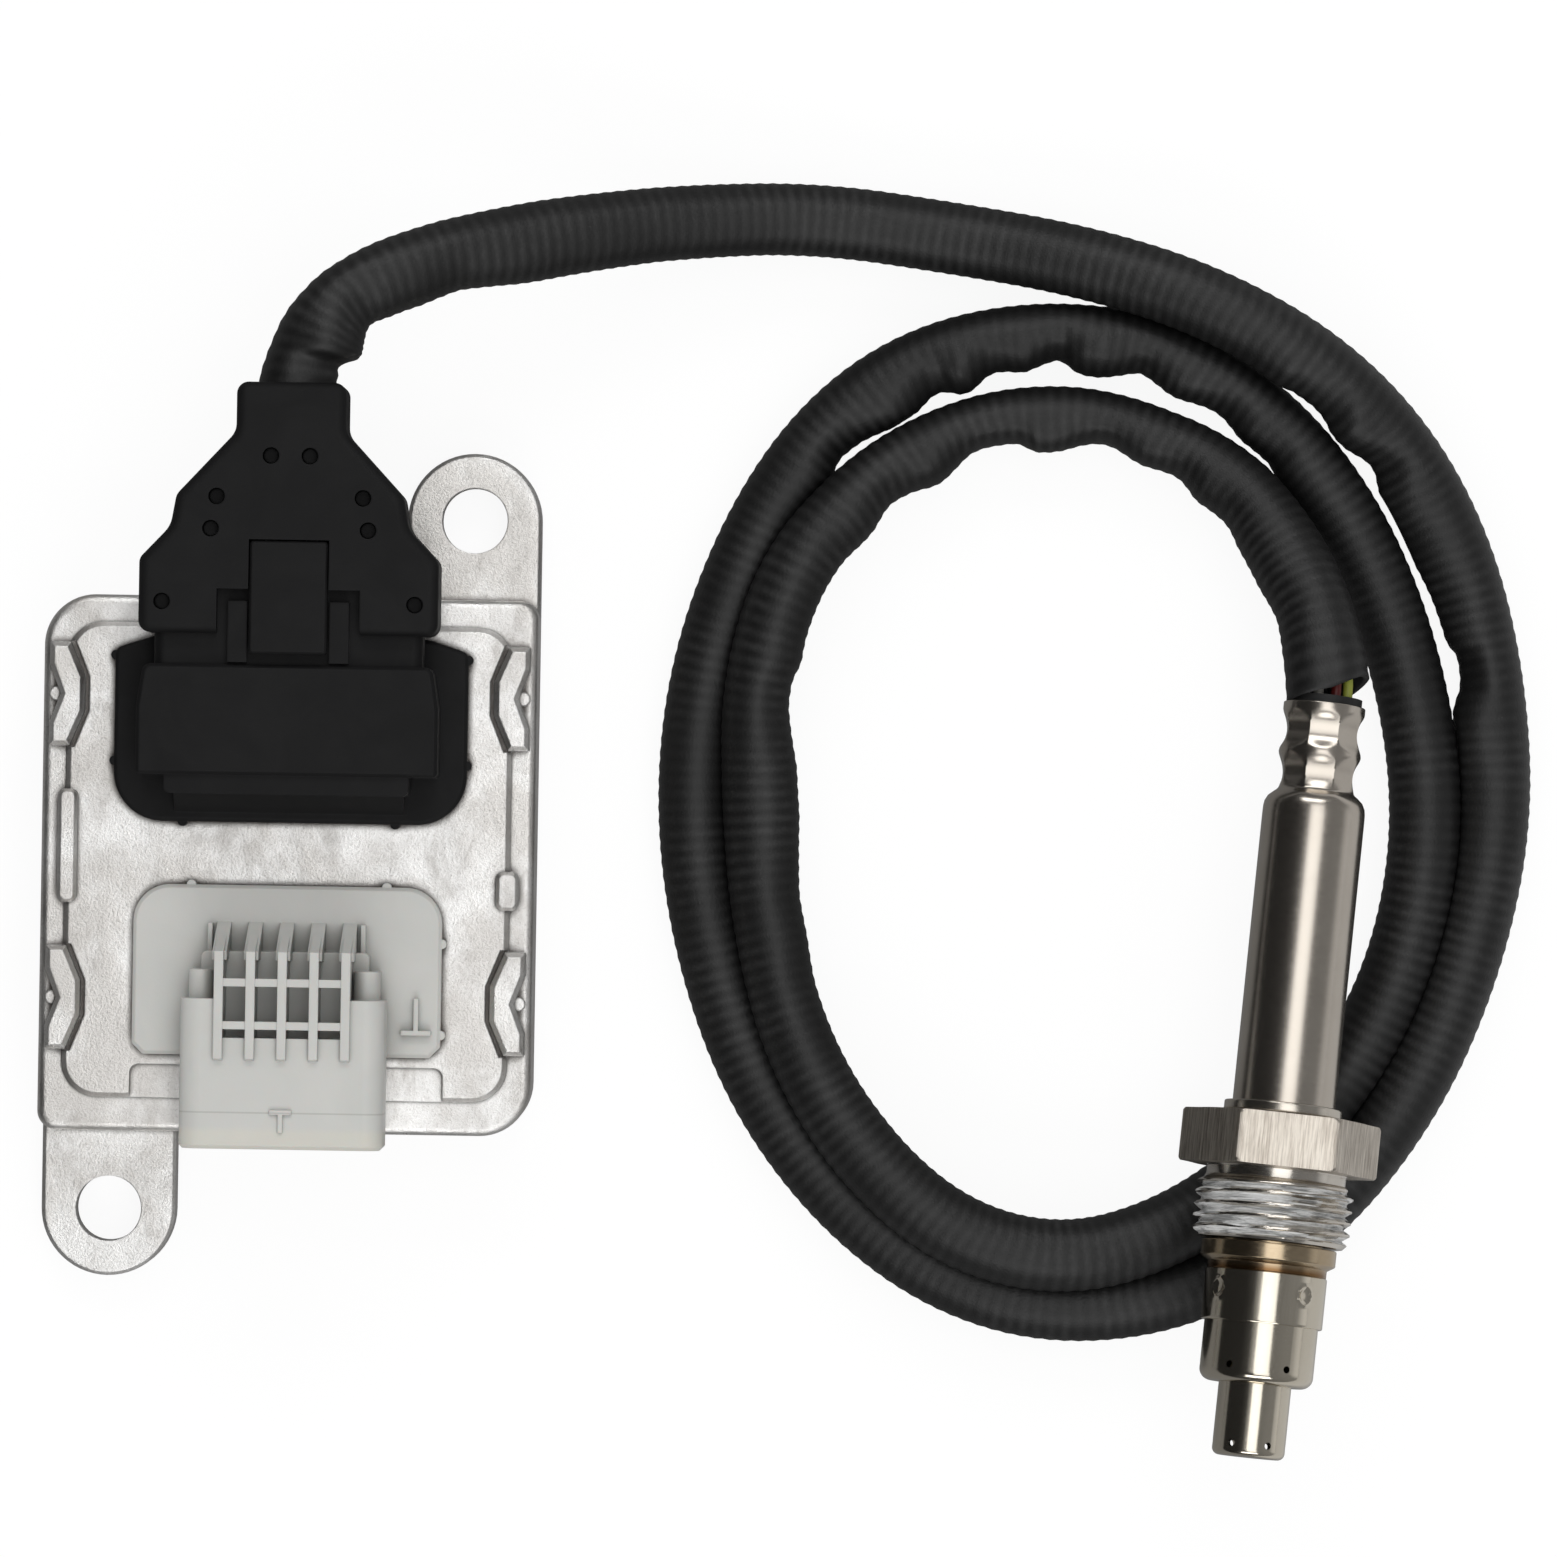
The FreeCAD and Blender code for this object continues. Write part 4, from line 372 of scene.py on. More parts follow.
# Sensor cable
# Eight leads in a corrugated hose, with a woven glass sleeve pulled over it and varnished black.
# The hose's ridges show through, with a painted highlight in dashes on their crests, and the
# loose sleeve buckles inside the bends.
CABLE_ROUTE = (
    (0.3, 57.6, 23.4), (0.3, 64, 23.4), (2.8, 70.8, 23), (8.6, 75.3, 21.9),
    (18.5, 78.3, 19.2), (33.1, 81.2, 14), (50.1, 83.3, 8.5), (66.5, 84, 5),
    (82.9, 81.9, 4.5), (99.9, 79.1, 6.7), (115.9, 74.3, 9.3), (130.9, 66.3, 8.6),
    (142.2, 55.3, 5.5), (149.6, 41.4, 4.5), (153.6, 24.9, 4.5), (154.6, 7.6, 4.5),
    (151.1, -10.2, 4.5), (143.9, -27.7, 4.5), (132.1, -43.1, 4.5), (116.7, -52.9, 4.5),
    (100, -55.7, 4.5), (85, -52, 4.5), (71.4, -42.2, 4.5), (60.4, -27.8, 4.5),
    (53.7, -9.9, 4.5), (51, 8.5, 4.5), (52.7, 26.9, 4.5), (59.2, 44.7, 4.5),
    (68.4, 58.1, 4.5), (80.4, 66.4, 4.5), (95.5, 69.6, 4.5), (110.9, 67.8, 4.5),
    (124.9, 59.3, 4.5), (135.5, 46.2, 4.5), (142.5, 29.5, 4.5), (145.9, 10.5, 5.8),
    (143.9, -7.7, 5.2), (137.1, -23.4, 4.5), (125.8, -36.8, 4.5), (113.5, -45.2, 8.5),
    (99.9, -49.1, 10.7), (86, -46, 11.4), (74.3, -36.5, 11.2), (65.7, -23.1, 10.4),
    (61.3, -7.4, 9), (59.6, 9, 8), (59.4, 24.3, 9.6), (63.5, 38.6, 9.8),
    (72.2, 48.9, 7.2), (81.5, 55.1, 5.2), (92.1, 58.5, 4.6), (103.9, 58.3, 4.5),
    (117.6, 52.8, 5.5), (126.6, 42.4, 9.5), (131, 31.7, 15.5), (131.75, 25.4, 17.2),
)
SLEEVE_R = 4.6
RIDGE_PITCH = 1.68
RIDGE_H = 0.05
RING_STEP = RIDGE_PITCH / 4
AROUND = 46
FOLD_SHAPE = 1.3
LEAST_R = 1.9
NEIGHBOUR_REACH = 11
OWN_RUN = 40
TOUCH_GAP = 0.02
TABLE_GAP = 0.03
CUT_RUN = 5
# Where the loose sleeve's folds are: distance from the plug and how far the sleeve stands from
# the cable's middle on the inner side of its bends, in millimetres
INNER_REACH = (
    (0, 4.9), (5.4, 5.38), (6.5, 4.99), (7.1, 5.54), (7.3, 6.53), (8, 7.21), (9.2, 7.68), (11.4, 7.57),
    (14.3, 7.04), (17.3, 6.13), (18.5, 5.98), (21.7, 6.25), (26.8, 6.07), (32.6, 5.21), (40.9, 5.76),
    (43.6, 5.75), (60, 4.9), (75, 4.6), (140, 4.6), (146.5, 5.11), (148.1, 4.54), (152.4, 4.36),
    (154.6, 4.65), (157.2, 5.58), (159.6, 5.41), (163.3, 4.27), (164.9, 4.24), (168.6, 5.7), (171.3, 5.91),
    (178.4, 5.46), (184.5, 4.72), (191, 4.25), (192.6, 3.24), (195.3, 3.3), (197.3, 3.58), (198.6, 4.38),
    (201.9, 5.36), (205.3, 5.47), (212, 5.1), (255, 4.6), (439.8, 4.61), (443.8, 3.43), (447.7, 3.94),
    (453.5, 5.4), (455.8, 5.26), (457.7, 4.88), (459.7, 4.18), (460.8, 4.07), (461.9, 4.28), (464, 5.39),
    (465.2, 5.38), (466.6, 4.78), (467.9, 3.98), (469.1, 3.62), (470.1, 3.59), (473.5, 4.13), (478, 2.64),
    (478.8, 2.76), (479.8, 3.62), (481, 4.34), (482.8, 4.59), (484.6, 4.51), (487, 3.86), (489.7, 2.81),
    (494.4, 4.11), (496.3, 4.14), (500.7, 3.19), (502.7, 3.16), (506.6, 4.06), (512, 3.71), (513.9, 4.35),
    (520, 4.6), (675, 4.6), (697.3, 4.12), (703, 4.44), (708.7, 4.33), (719.2, 5.18), (725.5, 5.07),
    (734, 3.79), (737.4, 3.83), (740.1, 4.54), (743.1, 4.33), (756.3, 4.2), (760.3, 4.49), (762.5, 4.39),
    (766, 3.37), (767.3, 3.22), (770.6, 3.61), (773.4, 4.34), (775, 4.34), (777, 3.7), (780.2, 2.34),
    (782, 2.05), (786.9, 2.43), (789, 3.77), (791, 3.9), (793.2, 3.67), (798.3, 1.97), (799.6, 1.94),
    (802.9, 3), (804.8, 3.3), (809.2, 2.75), (810.6, 2.91), (814, 4.03), (819.2, 3.6), (821, 3.76),
    (823.4, 4.36), (827.1, 4.72), (830.7, 4.91), (836.4, 4.44), (846.5, 5.41),
)
# The same on the outer side
OUTER_REACH = (
    (0, 4.6), (4, 4.5), (8.3, 3.6), (14, 2.9), (19, 2.9), (24, 3.3), (32, 3.9), (45, 4.4), (60, 4.6),
    (806, 4.6), (818, 5.3), (847, 5.4),
)


def lay_spline(curve, places):
    """Adds a smooth spline along places given in metres, from the first to the last."""
    spline = curve.splines.new("NURBS")
    spline.points.add(len(places) - 1)
    for point, place in zip(spline.points, places):
        point.co = (*place, 1)
    spline.order_u = 3
    spline.use_endpoint_u = True
    return spline


def smooth_line(name, points):
    """Even points along the smooth spline that a cable follows, in millimetres."""
    curve = bpy.data.curves.new(name, "CURVE")
    curve.dimensions = "3D"
    spline = lay_spline(curve, [[value / 1000 for value in place] for place in points])
    spline.resolution_u = 40
    thin = bpy.data.objects.new(name, curve)
    bpy.context.scene.collection.objects.link(thin)
    bpy.context.view_layer.update()
    mesh = bpy.data.meshes.new_from_object(thin)
    line = np.array([vertex.co for vertex in mesh.vertices]) * 1000
    bpy.data.objects.remove(thin)
    bpy.data.meshes.remove(mesh)
    bpy.data.curves.remove(curve)
    return line


def skin(name, rows, finish, looped=False, along=None):
    """Closes a skin over rows of points that run round a piece. A looped skin joins its last row
    to its first."""
    count, around = rows.shape[:2]
    bands = count if looped else count - 1
    first = np.arange(bands)[:, None] * around + np.arange(around)
    second = np.arange(bands)[:, None] * around + (np.arange(around) + 1) % around
    size = count * around
    quads = np.stack([first, second, (second + around) % size, (first + around) % size], -1)
    faces = quads.reshape(-1, 4).tolist()
    if not looped:
        faces.append(list(range(around))[::-1])
        faces.append(list(range(size - around, size)))
    mesh = bpy.data.meshes.new(name)
    mesh.from_pydata(rows.reshape(-1, 3).tolist(), [], faces)
    if along is not None:
        layer = mesh.uv_layers.new(name="round_and_along")
        turn = np.arange(around) / around
        band_uv = np.zeros((bands, around, 4, 2))
        band_uv[:, :, 0, 0] = band_uv[:, :, 3, 0] = turn
        band_uv[:, :, 1, 0] = band_uv[:, :, 2, 0] = turn + 1 / around
        band_uv[:, :, 0, 1] = band_uv[:, :, 1, 1] = along[:bands, None]
        band_uv[:, :, 2, 1] = band_uv[:, :, 3, 1] = along[1:bands + 1, None]
        flat = np.zeros((len(mesh.loops), 2))
        flat[:band_uv.size // 2] = band_uv.reshape(-1, 2)
        layer.data.foreach_set("uv", flat.ravel())
    mesh.polygons.foreach_set("use_smooth", [True] * len(mesh.polygons))
    mesh.materials.append(finish)
    mesh.validate()
    piece = bpy.data.objects.new(name, mesh)
    bpy.context.scene.collection.objects.link(piece)
    return piece


spline_line = smooth_line("cable_line", CABLE_ROUTE)
gone = np.concatenate([[0], np.cumsum(np.linalg.norm(np.diff(spline_line, axis=0), axis=1))])
cable_length = gone[-1]
steps = np.linspace(0, cable_length, int(cable_length / RING_STEP) + 1)
line = np.stack([np.interp(steps, gone, spline_line[:, i]) for i in range(3)], 1)
heading = np.gradient(line, axis=0)
heading /= np.linalg.norm(heading, axis=1)[:, None]
right = np.cross(heading, (0, 0, 1))
right /= np.linalg.norm(right, axis=1)[:, None]
upward = np.cross(right, heading)
turn = np.arange(AROUND) * 2 * math.pi / AROUND
eased = np.array([0.5, 1, 1, 1, 0.5]) / 4
inner_reach = np.interp(steps, *zip(*INNER_REACH))
inner_reach = np.convolve(np.pad(inner_reach, 2, "edge"), eased, "valid")
outer_reach = np.interp(steps, *zip(*OUTER_REACH))
pinched = np.convolve(np.pad(inner_reach, 18, "edge"), np.ones(37) / 37, "valid") - inner_reach
radius = np.full((len(steps), AROUND), SLEEVE_R)
for i, station in enumerate(steps):
    wander = noise.noise(Vector((station / 14, 0, 3.1)))
    radius[i] += (inner_reach[i] - SLEEVE_R) * np.clip(np.cos(turn), 0, 1) ** FOLD_SHAPE
    radius[i] += (outer_reach[i] - SLEEVE_R) * np.clip(-np.cos(turn), 0, 1) ** FOLD_SHAPE
    radius[i] -= 0.62 * pinched[i] * np.exp(-((turn - 1.0 - 0.5 * wander) / 0.55) ** 2)
    radius[i] += 0.12 * wander * np.sin(turn) ** 2
    radius[i] += RIDGE_H * math.cos(2 * math.pi * station / RIDGE_PITCH)
radius = np.maximum(radius, LEAST_R)
rows = line[:, None] + radius[..., None] * (np.cos(turn)[None, :, None] * right[:, None]
                                            + np.sin(turn)[None, :, None] * upward[:, None])
rest_spots = line[::4]
apart = np.linalg.norm(line[:, None] - rest_spots[None], axis=2)
apart[np.abs(steps[:, None] - steps[None, ::4]) < OWN_RUN] = 99
for i, k in enumerate(apart.argmin(1)):
    if apart[i, k] > NEIGHBOUR_REACH:
        continue
    toward = rest_spots[k] - line[i]
    toward -= heading[i] * toward.dot(heading[i])
    gap = np.linalg.norm(toward)
    toward /= gap
    over = (rows[i] - line[i]) @ toward - (gap / 2 - TOUCH_GAP)
    rows[i] -= np.maximum(over, 0)[:, None] * toward
rows[..., 2] = np.maximum(rows[..., 2], TABLE_GAP)
near_cut = np.clip((steps - cable_length + CUT_RUN) / CUT_RUN, 0, 1)
slant = 2.0 + 0.4 * np.cos(turn) - 1.6 * np.clip(-np.cos(turn), 0, 1) ** 1.5
rows += (near_cut[:, None] * slant)[..., None] * heading[:, None]


def tucked(outer, middle, run, share, back):
    """A row turned in at the sleeve's cut end: nearer the middle by share, and back along the cable."""
    return middle + (outer - middle) * share - run * back


ends = [tucked(rows[0], line[0], -heading[0], share, back) for share, back in ((0.3, 2.0), (0.82, 0.0))]
tail = [tucked(rows[-1], line[-1], heading[-1], share, back)
        for share, back in ((0.96, 0.0), (0.86, 0.0), (0.82, 1.0), (0.2, 4.0))]
rows = np.concatenate([ends, rows, tail])
along = np.concatenate([[0, 0], steps, [cable_length] * 4])

sleeve, tree, shader = new_finish("glass_sleeve_varnished_black", Roughness=0.5, IOR=1.5)
places = add_node(tree, "TexCoord").outputs["Object"]
unrolled = add_node(tree, "UVMap", {"uv_map": "round_and_along"})
threads_way = add_node(tree, "Mapping", {"Scale": (60.0, 1.2, 1.0)}, {"Vector": unrolled.outputs[0]})
beads_way = add_node(tree, "Mapping", {"Scale": (18.0, 0.6, 1.0)}, {"Vector": unrolled.outputs[0]})
beads = add_node(tree, "TexNoise", {"Scale": 1.0, "Detail": 2.0}, {"Vector": beads_way.outputs[0]})
threads = add_node(tree, "TexNoise", {"Scale": 1.6, "Detail": 3.0, "Roughness": 0.6},
                   {"Vector": threads_way.outputs[0]})
lint = add_node(tree, "TexNoise", {"Scale": 1000 / 0.5, "Detail": 4.0, "Roughness": 0.7},
                {"Vector": places})
patches = add_node(tree, "TexNoise", {"Scale": 1000 / 12, "Detail": 4.0}, {"Vector": places})
run = add_node(tree, "SeparateXYZ", {}, {0: unrolled.outputs[0]})
beat = add_node(tree, "Math", {"operation": "MULTIPLY", 1: 2 * math.pi / RIDGE_PITCH},
                {0: run.outputs["Y"]})
ridge = add_node(tree, "Math", {"operation": "COSINE"}, {0: beat.outputs[0]})
crest = add_node(tree, "MapRange", {"From Min": -0.9, "From Max": 1.0}, {"Value": ridge.outputs[0]})
beaded = add_node(tree, "MapRange", {"From Min": 0.42, "From Max": 0.62, "To Min": 0.55, "To Max": 1.0},
                  {"Value": beads.outputs[0]})
clear = add_node(tree, "MapRange", {"From Min": 0.38, "From Max": 0.6, "To Min": 0.25, "To Max": 1.0},
                 {"Value": patches.outputs[0]})
crest_highlight_dashes = add_node(tree, "Math", {"operation": "MULTIPLY"}, {0: crest.outputs[0], 1: beaded.outputs[0]})
shown = add_node(tree, "Math", {"operation": "MULTIPLY"}, {0: crest_highlight_dashes.outputs[0], 1: clear.outputs[0]})
# Ridge crests painted lighter, #272727, in dashes and patches: painted highlight.
tone = add_node(tree, "Mix", {"data_type": "RGBA", 6: linear("#0e0e0e"), 7: linear("#272727")},
                {0: shown.outputs[0]})
linty = add_node(tree, "MapRange", {"From Min": 0.66, "From Max": 0.82, "To Max": 0.4},
                 {"Value": lint.outputs[0]})
specked = add_node(tree, "Mix", {"data_type": "RGBA", 7: linear("#5c5c5a")},
                   {0: linty.outputs[0], 6: tone.outputs[2]})
tree.links.new(specked.outputs[2], shader.inputs["Base Color"])
hoops = add_node(tree, "Bump", {"Strength": 0.5, "Distance": 0.00016}, {"Height": crest.outputs[0]})
rough_cloth = add_node(tree, "Bump", {"Strength": 0.4, "Distance": 0.0001},
                       {"Height": threads.outputs[0], "Normal": hoops.outputs[0]})
fuzz = add_node(tree, "Bump", {"Strength": 0.3, "Distance": 0.00006},
                {"Height": lint.outputs[0], "Normal": rough_cloth.outputs[0]})
tree.links.new(fuzz.outputs[0], shader.inputs["Normal"])

cable = skin("cable_sleeve", rows / 1000, sleeve, along=along)
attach(cable, "root")
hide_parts("sensor_cable")


# Probe
# Every piece of the probe is turned or drawn round one axis, which runs from the rear rim to
# the tip, down the picture, aimed a little to the left and rising by five degrees.
aim = math.radians(5.2)
rise = math.radians(5.0)
axis = Vector((-math.cos(rise) * math.sin(aim), -math.cos(rise) * math.cos(aim), math.sin(rise)))
side = Vector((0, 0, 1)).cross(axis).normalized()
top = axis.cross(side)
rear = Vector((0.1315, 0.0225, 0.0175))
probe_frame = Matrix((
    (side.x, top.x, axis.x, rear.x),
    (side.y, top.y, axis.y, rear.y),
    (side.z, top.z, axis.z, rear.z),
    (0, 0, 0, 1),
))


def broken(profile, steps=4):
    """Corners of a (radius, station, round) profile, each turned to its round."""
    made = []
    count = len(profile)
    for i in range(count):
        here = Vector(profile[i][:2])
        before = Vector(profile[i - 1][:2]) - here
        after = Vector(profile[(i + 1) % count][:2]) - here
        size = profile[i][2]
        if not size:
            made.append((here.x, here.y))
            continue
        half = before.angle(after) / 2
        reach = min(size / math.tan(half), 0.49 * before.length, 0.49 * after.length)
        start = here + before.normalized() * reach
        end = here + after.normalized() * reach
        for k in range(steps + 1):
            t = k / steps
            spot = start * (1 - t) ** 2 + here * 2 * t * (1 - t) + end * t ** 2
            made.append((spot.x, spot.y))
    return made


def turned(name, profile, finish, around=128, body="root", shape=None, first=0.0):
    """A piece turned round the probe's axis from a closed (radius, station) profile in millimetres.
    Shape may give another radius for a radius, station and angle. First is the first angle."""
    angles = first + np.arange(around) * 2 * math.pi / around
    radii = np.repeat(np.array([p[0] for p in profile])[:, None], around, 1)
    stations = np.repeat(np.array([p[1] for p in profile])[:, None], around, 1)
    if shape:
        radii = shape(radii, stations, np.repeat(angles[None], len(profile), 0))
    rows = np.stack([radii * np.cos(angles), radii * np.sin(angles), stations], -1)
    piece = skin(name, rows / 1000, finish, looped=True)
    piece.data.set_sharp_from_angle(angle=math.radians(35))
    piece.modifiers.new("even_shading", "WEIGHTED_NORMAL").keep_sharp = True
    piece.matrix_world = probe_frame
    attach(piece, body)
    return piece


# Rear sleeve
# Drawn from stainless tube and pressed twice onto the rubber behind it by eight-jaw crimps,
# which leave eight flats with soft ridges between. Fine turning marks run round it.
def stainless(name, dark, light, rough_low, rough_high, marks, mark_strength, streaks=0.15):
    """Bare stainless steel. The marks' scale squeezes them round or along the axis, and streaks
    is how much they change its tone."""
    finish, tree, shader = new_finish(name, Metallic=1.0)
    places = add_node(tree, "TexCoord").outputs["Object"]
    way = add_node(tree, "Mapping", {"Scale": marks}, {"Vector": places})
    lines = add_node(tree, "TexNoise", {"Scale": 1000 / 0.25, "Detail": 4.0, "Roughness": 0.65},
                     {"Vector": way.outputs[0]})
    cloud = add_node(tree, "TexNoise", {"Scale": 1000 / 6, "Detail": 4.0}, {"Vector": places})
    lined = add_node(tree, "MapRange",
                     {"From Min": 0.35, "From Max": 0.65, "To Min": -streaks, "To Max": streaks},
                     {"Value": lines.outputs[0]})
    both = add_node(tree, "Math", {"operation": "ADD", "use_clamp": True},
                    {0: cloud.outputs[0], 1: lined.outputs[0]})
    tone = add_node(tree, "Mix", {"data_type": "RGBA", 6: linear(dark), 7: linear(light)},
                    {0: both.outputs[0]})
    tree.links.new(tone.outputs[2], shader.inputs["Base Color"])
    dull = add_node(tree, "MapRange",
                    {"From Min": 0.3, "From Max": 0.7, "To Min": rough_low, "To Max": rough_high},
                    {"Value": lines.outputs[0]})
    tree.links.new(dull.outputs[0], shader.inputs["Roughness"])
    marked = add_node(tree, "Bump", {"Strength": mark_strength, "Distance": 0.00002},
                      {"Height": lines.outputs[0]})
    tree.links.new(marked.outputs[0], shader.inputs["Normal"])
    return finish, tree, shader, tone


satin_steel = stainless("stainless_drawn_satin", "#b9b1a7", "#c8c1b7", 0.2, 0.27, (0.25, 0.25, 1.0),
                        0.12)[0]

CRIMPS = (3.5, 9.1)
CRIMP_R = 4.35
JAW_R = 3.4
JAWS = 8
JAW_BLEND = 0.45
NECK_OUTSIDE = 4.75
SLEEVE_END = 51.1


def soft_least(first, second, blend):
    """The lesser of two sizes, eased into each other over the blend."""
    part = np.clip(0.5 + 0.5 * (second - first) / blend, 0, 1)
    return second * (1 - part) + first * part - blend * part * (1 - part)


def press_crimps(radii, stations, angles):
    """The eight jaws' flats, on the outside of the sleeve's neck only."""
    made = radii.copy()
    for station in CRIMPS:
        away = stations - station
        inside = np.abs(away) < JAW_R * 0.98
        jaw = CRIMP_R + JAW_R - np.sqrt(np.maximum(JAW_R ** 2 - away ** 2, 0.01))
        flat = (angles + math.pi / JAWS) % (2 * math.pi / JAWS) - math.pi / JAWS
        pressed = soft_least(made, jaw / np.cos(flat), JAW_BLEND)
        outer = (radii > NECK_OUTSIDE) & inside
        made = np.where(outer, pressed, made)
    return made


neck = [(4.7, 0.0, 0.12), (5.2, 0.0, 0.22)]
neck += [(5.2, 0.35 + 0.2 * k, 0) for k in range(30)]
neck += [(5.22, 6.3, 0)]
neck += [(5.2 - 0.3 * (k / 24), 6.5 + 0.1875 * k, 0) for k in range(25)]
neck += [(5.1, 11.25, 0), (5.6, 11.55, 0), (6.1, 12.1, 0), (6.38, 12.8, 0), (6.48, 13.5, 0),
         (6.5, 14.5, 0)]
neck += [(6.5, 20.0 + 5 * k, 0) for k in range(6)]
neck += [(6.5, SLEEVE_END, 0.1), (6.0, SLEEVE_END, 0.1), (6.0, 13.8, 0.3), (4.4, 11.2, 0.3),
         (3.85, 10.2, 0.4), (3.85, 8.0, 0.4), (4.6, 6.3, 0.4), (3.85, 4.6, 0.4), (3.85, 2.4, 0.4),
         (4.7, 1.0, 0.3)]
rear_sleeve = turned("rear_sleeve_crimped", broken(neck), satin_steel, around=192, shape=press_crimps)
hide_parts("rear_sleeve")


# Nut retaining ring
# A thin stainless washer, staked behind the nut. Only its polished rim shows.
ring_steel = stainless("stainless_turned_ring", "#c3bcb1", "#cfc9bf", 0.16, 0.26, (0.3, 0.3, 1.0),
                       0.15)[0]
ring = turned("nut_retaining_washer",
              broken([(6.0, 51.1, 0), (7.5, 51.1, 0.25), (7.5, 52.4, 0.25), (6.0, 52.4, 0)]),
              ring_steel)
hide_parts("nut_retaining_ring")


# Gland nut
# One turned piece: a 22 mm hexagon, brushed along the axis, a bright relief neck and an M20
# thread of 1.5 mm pitch. It turns on the shell.
HEX_HALF = 11.0
HEX_TOP = -1.9
HEX_REAR = 52.6
HEX_FRONT = 59.4
HEX_CORNER = 12.62
HEX_CONE = 12.3
BRIGHT_FROM = 0.05942
THREAD_PITCH = 1.5
THREAD_START = 60.8
THREAD_END = 68.7
THREAD_ROOT = 9.02
THREAD_DEPTH = 0.95
THREAD_CREST = 9.97
THREAD_CHAMFER = 0.9
# Radii that mark which part of the profile is cut to the hexagon and which to the thread
HEX_BLANK = 12.0
THREAD_BLANK = 9.5


def cut_nut(radii, stations, angles):
    """Six flats with a turned chamfer at both ends, and the helical thread."""
    flat = (angles - math.radians(HEX_TOP)) % (math.pi / 3) - math.pi / 6
    hexagon = np.minimum(HEX_HALF / np.cos(flat), HEX_CORNER)
    edge = np.minimum(stations - HEX_REAR, HEX_FRONT - stations)
    cone = HEX_CONE + np.maximum(edge, 0)
    hexagon = soft_least(hexagon, cone, 0.12)
    phase = (stations / THREAD_PITCH - angles / (2 * math.pi)) % 1.0
    tooth = np.clip(1.25 - np.abs(phase - 0.5) * 3.0, 0, 1)
    runout = np.clip((stations - THREAD_START) / THREAD_CHAMFER, 0, 1)
    worn = THREAD_CREST - (stations - (THREAD_END - THREAD_CHAMFER)) * 0.95
    crest = np.minimum(THREAD_CREST, worn)
    thread = np.minimum(THREAD_ROOT + THREAD_DEPTH * tooth * runout, np.maximum(crest, 9.0))
    made = np.where(radii == HEX_BLANK, hexagon, radii)
    return np.where(radii == THREAD_BLANK, thread, made)


nut_profile = [(6.8, HEX_REAR), (8.6, HEX_REAR), (10.3, HEX_REAR), (10.95, 52.61)]
nut_profile += [(HEX_BLANK, 52.66 + (59.34 - 52.66) * (0.5 - 0.5 * math.cos(math.pi * k / 26)))
                for k in range(27)]
nut_profile += [(10.95, 59.39), (10.3, HEX_FRONT), (9.2, HEX_FRONT), (8.98, 59.43), (8.85, 59.6),
                (8.85, 60.5), (8.9, 60.72)]
nut_profile += [(THREAD_BLANK, THREAD_START + 0.1 * k) for k in range(79)]
nut_profile += [(8.8, 68.68), (8.5, 68.7), (6.8, 68.7)]
hex_steel = stainless("stainless_hexagon_brushed", "#9a9187", "#d8d1c6", 0.28, 0.42, (1.0, 1.0, 0.05), 1.0,
                      0.5)[0]
turned_steel = stainless("stainless_turned_bright", "#c6c0b7", "#d6d1c9", 0.1, 0.2, (0.25, 0.25, 1.0),
                         0.2)[0]
gland_nut = turned("gland_nut_m20", nut_profile, hex_steel, around=240, body="gland_nut", shape=cut_nut,
                   first=math.radians(HEX_TOP + 30))
gland_nut.data.materials.append(turned_steel)
for face in gland_nut.data.polygons:
    face.material_index = int(face.center.z > BRIGHT_FROM)
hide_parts("gland_nut")


# Thread paste
# Anti-seize paste that comes on the thread: grey-white, wiped round by hand, so it fills the
# grooves, lies thin over some crests and leaves others bare.
PASTE_START = 61.2
PASTE_END = 68.4
paste, tree, shader = new_finish("anti_seize_paste", Roughness=0.45, IOR=1.46)
places = add_node(tree, "TexCoord").outputs["Object"]
wiped_way = add_node(tree, "Mapping", {"Scale": (0.12, 0.12, 1.0)}, {"Vector": places})
wiped = add_node(tree, "TexNoise",
                 {"Scale": 1000 / 0.5, "Detail": 5.0, "Roughness": 0.7, "Distortion": 0.6},
                 {"Vector": wiped_way.outputs[0]})
streak = add_node(tree, "MapRange", {"From Min": 0.38, "From Max": 0.58}, {"Value": wiped.outputs[0]})
tone = add_node(tree, "Mix", {"data_type": "RGBA", 6: linear("#7f8080"), 7: linear("#e2e2e1")},
                {0: streak.outputs[0]})
tree.links.new(tone.outputs[2], shader.inputs["Base Color"])
lumps = add_node(tree, "Bump", {"Strength": 0.6, "Distance": 0.0001}, {"Height": wiped.outputs[0]})
tree.links.new(lumps.outputs[0], shader.inputs["Normal"])


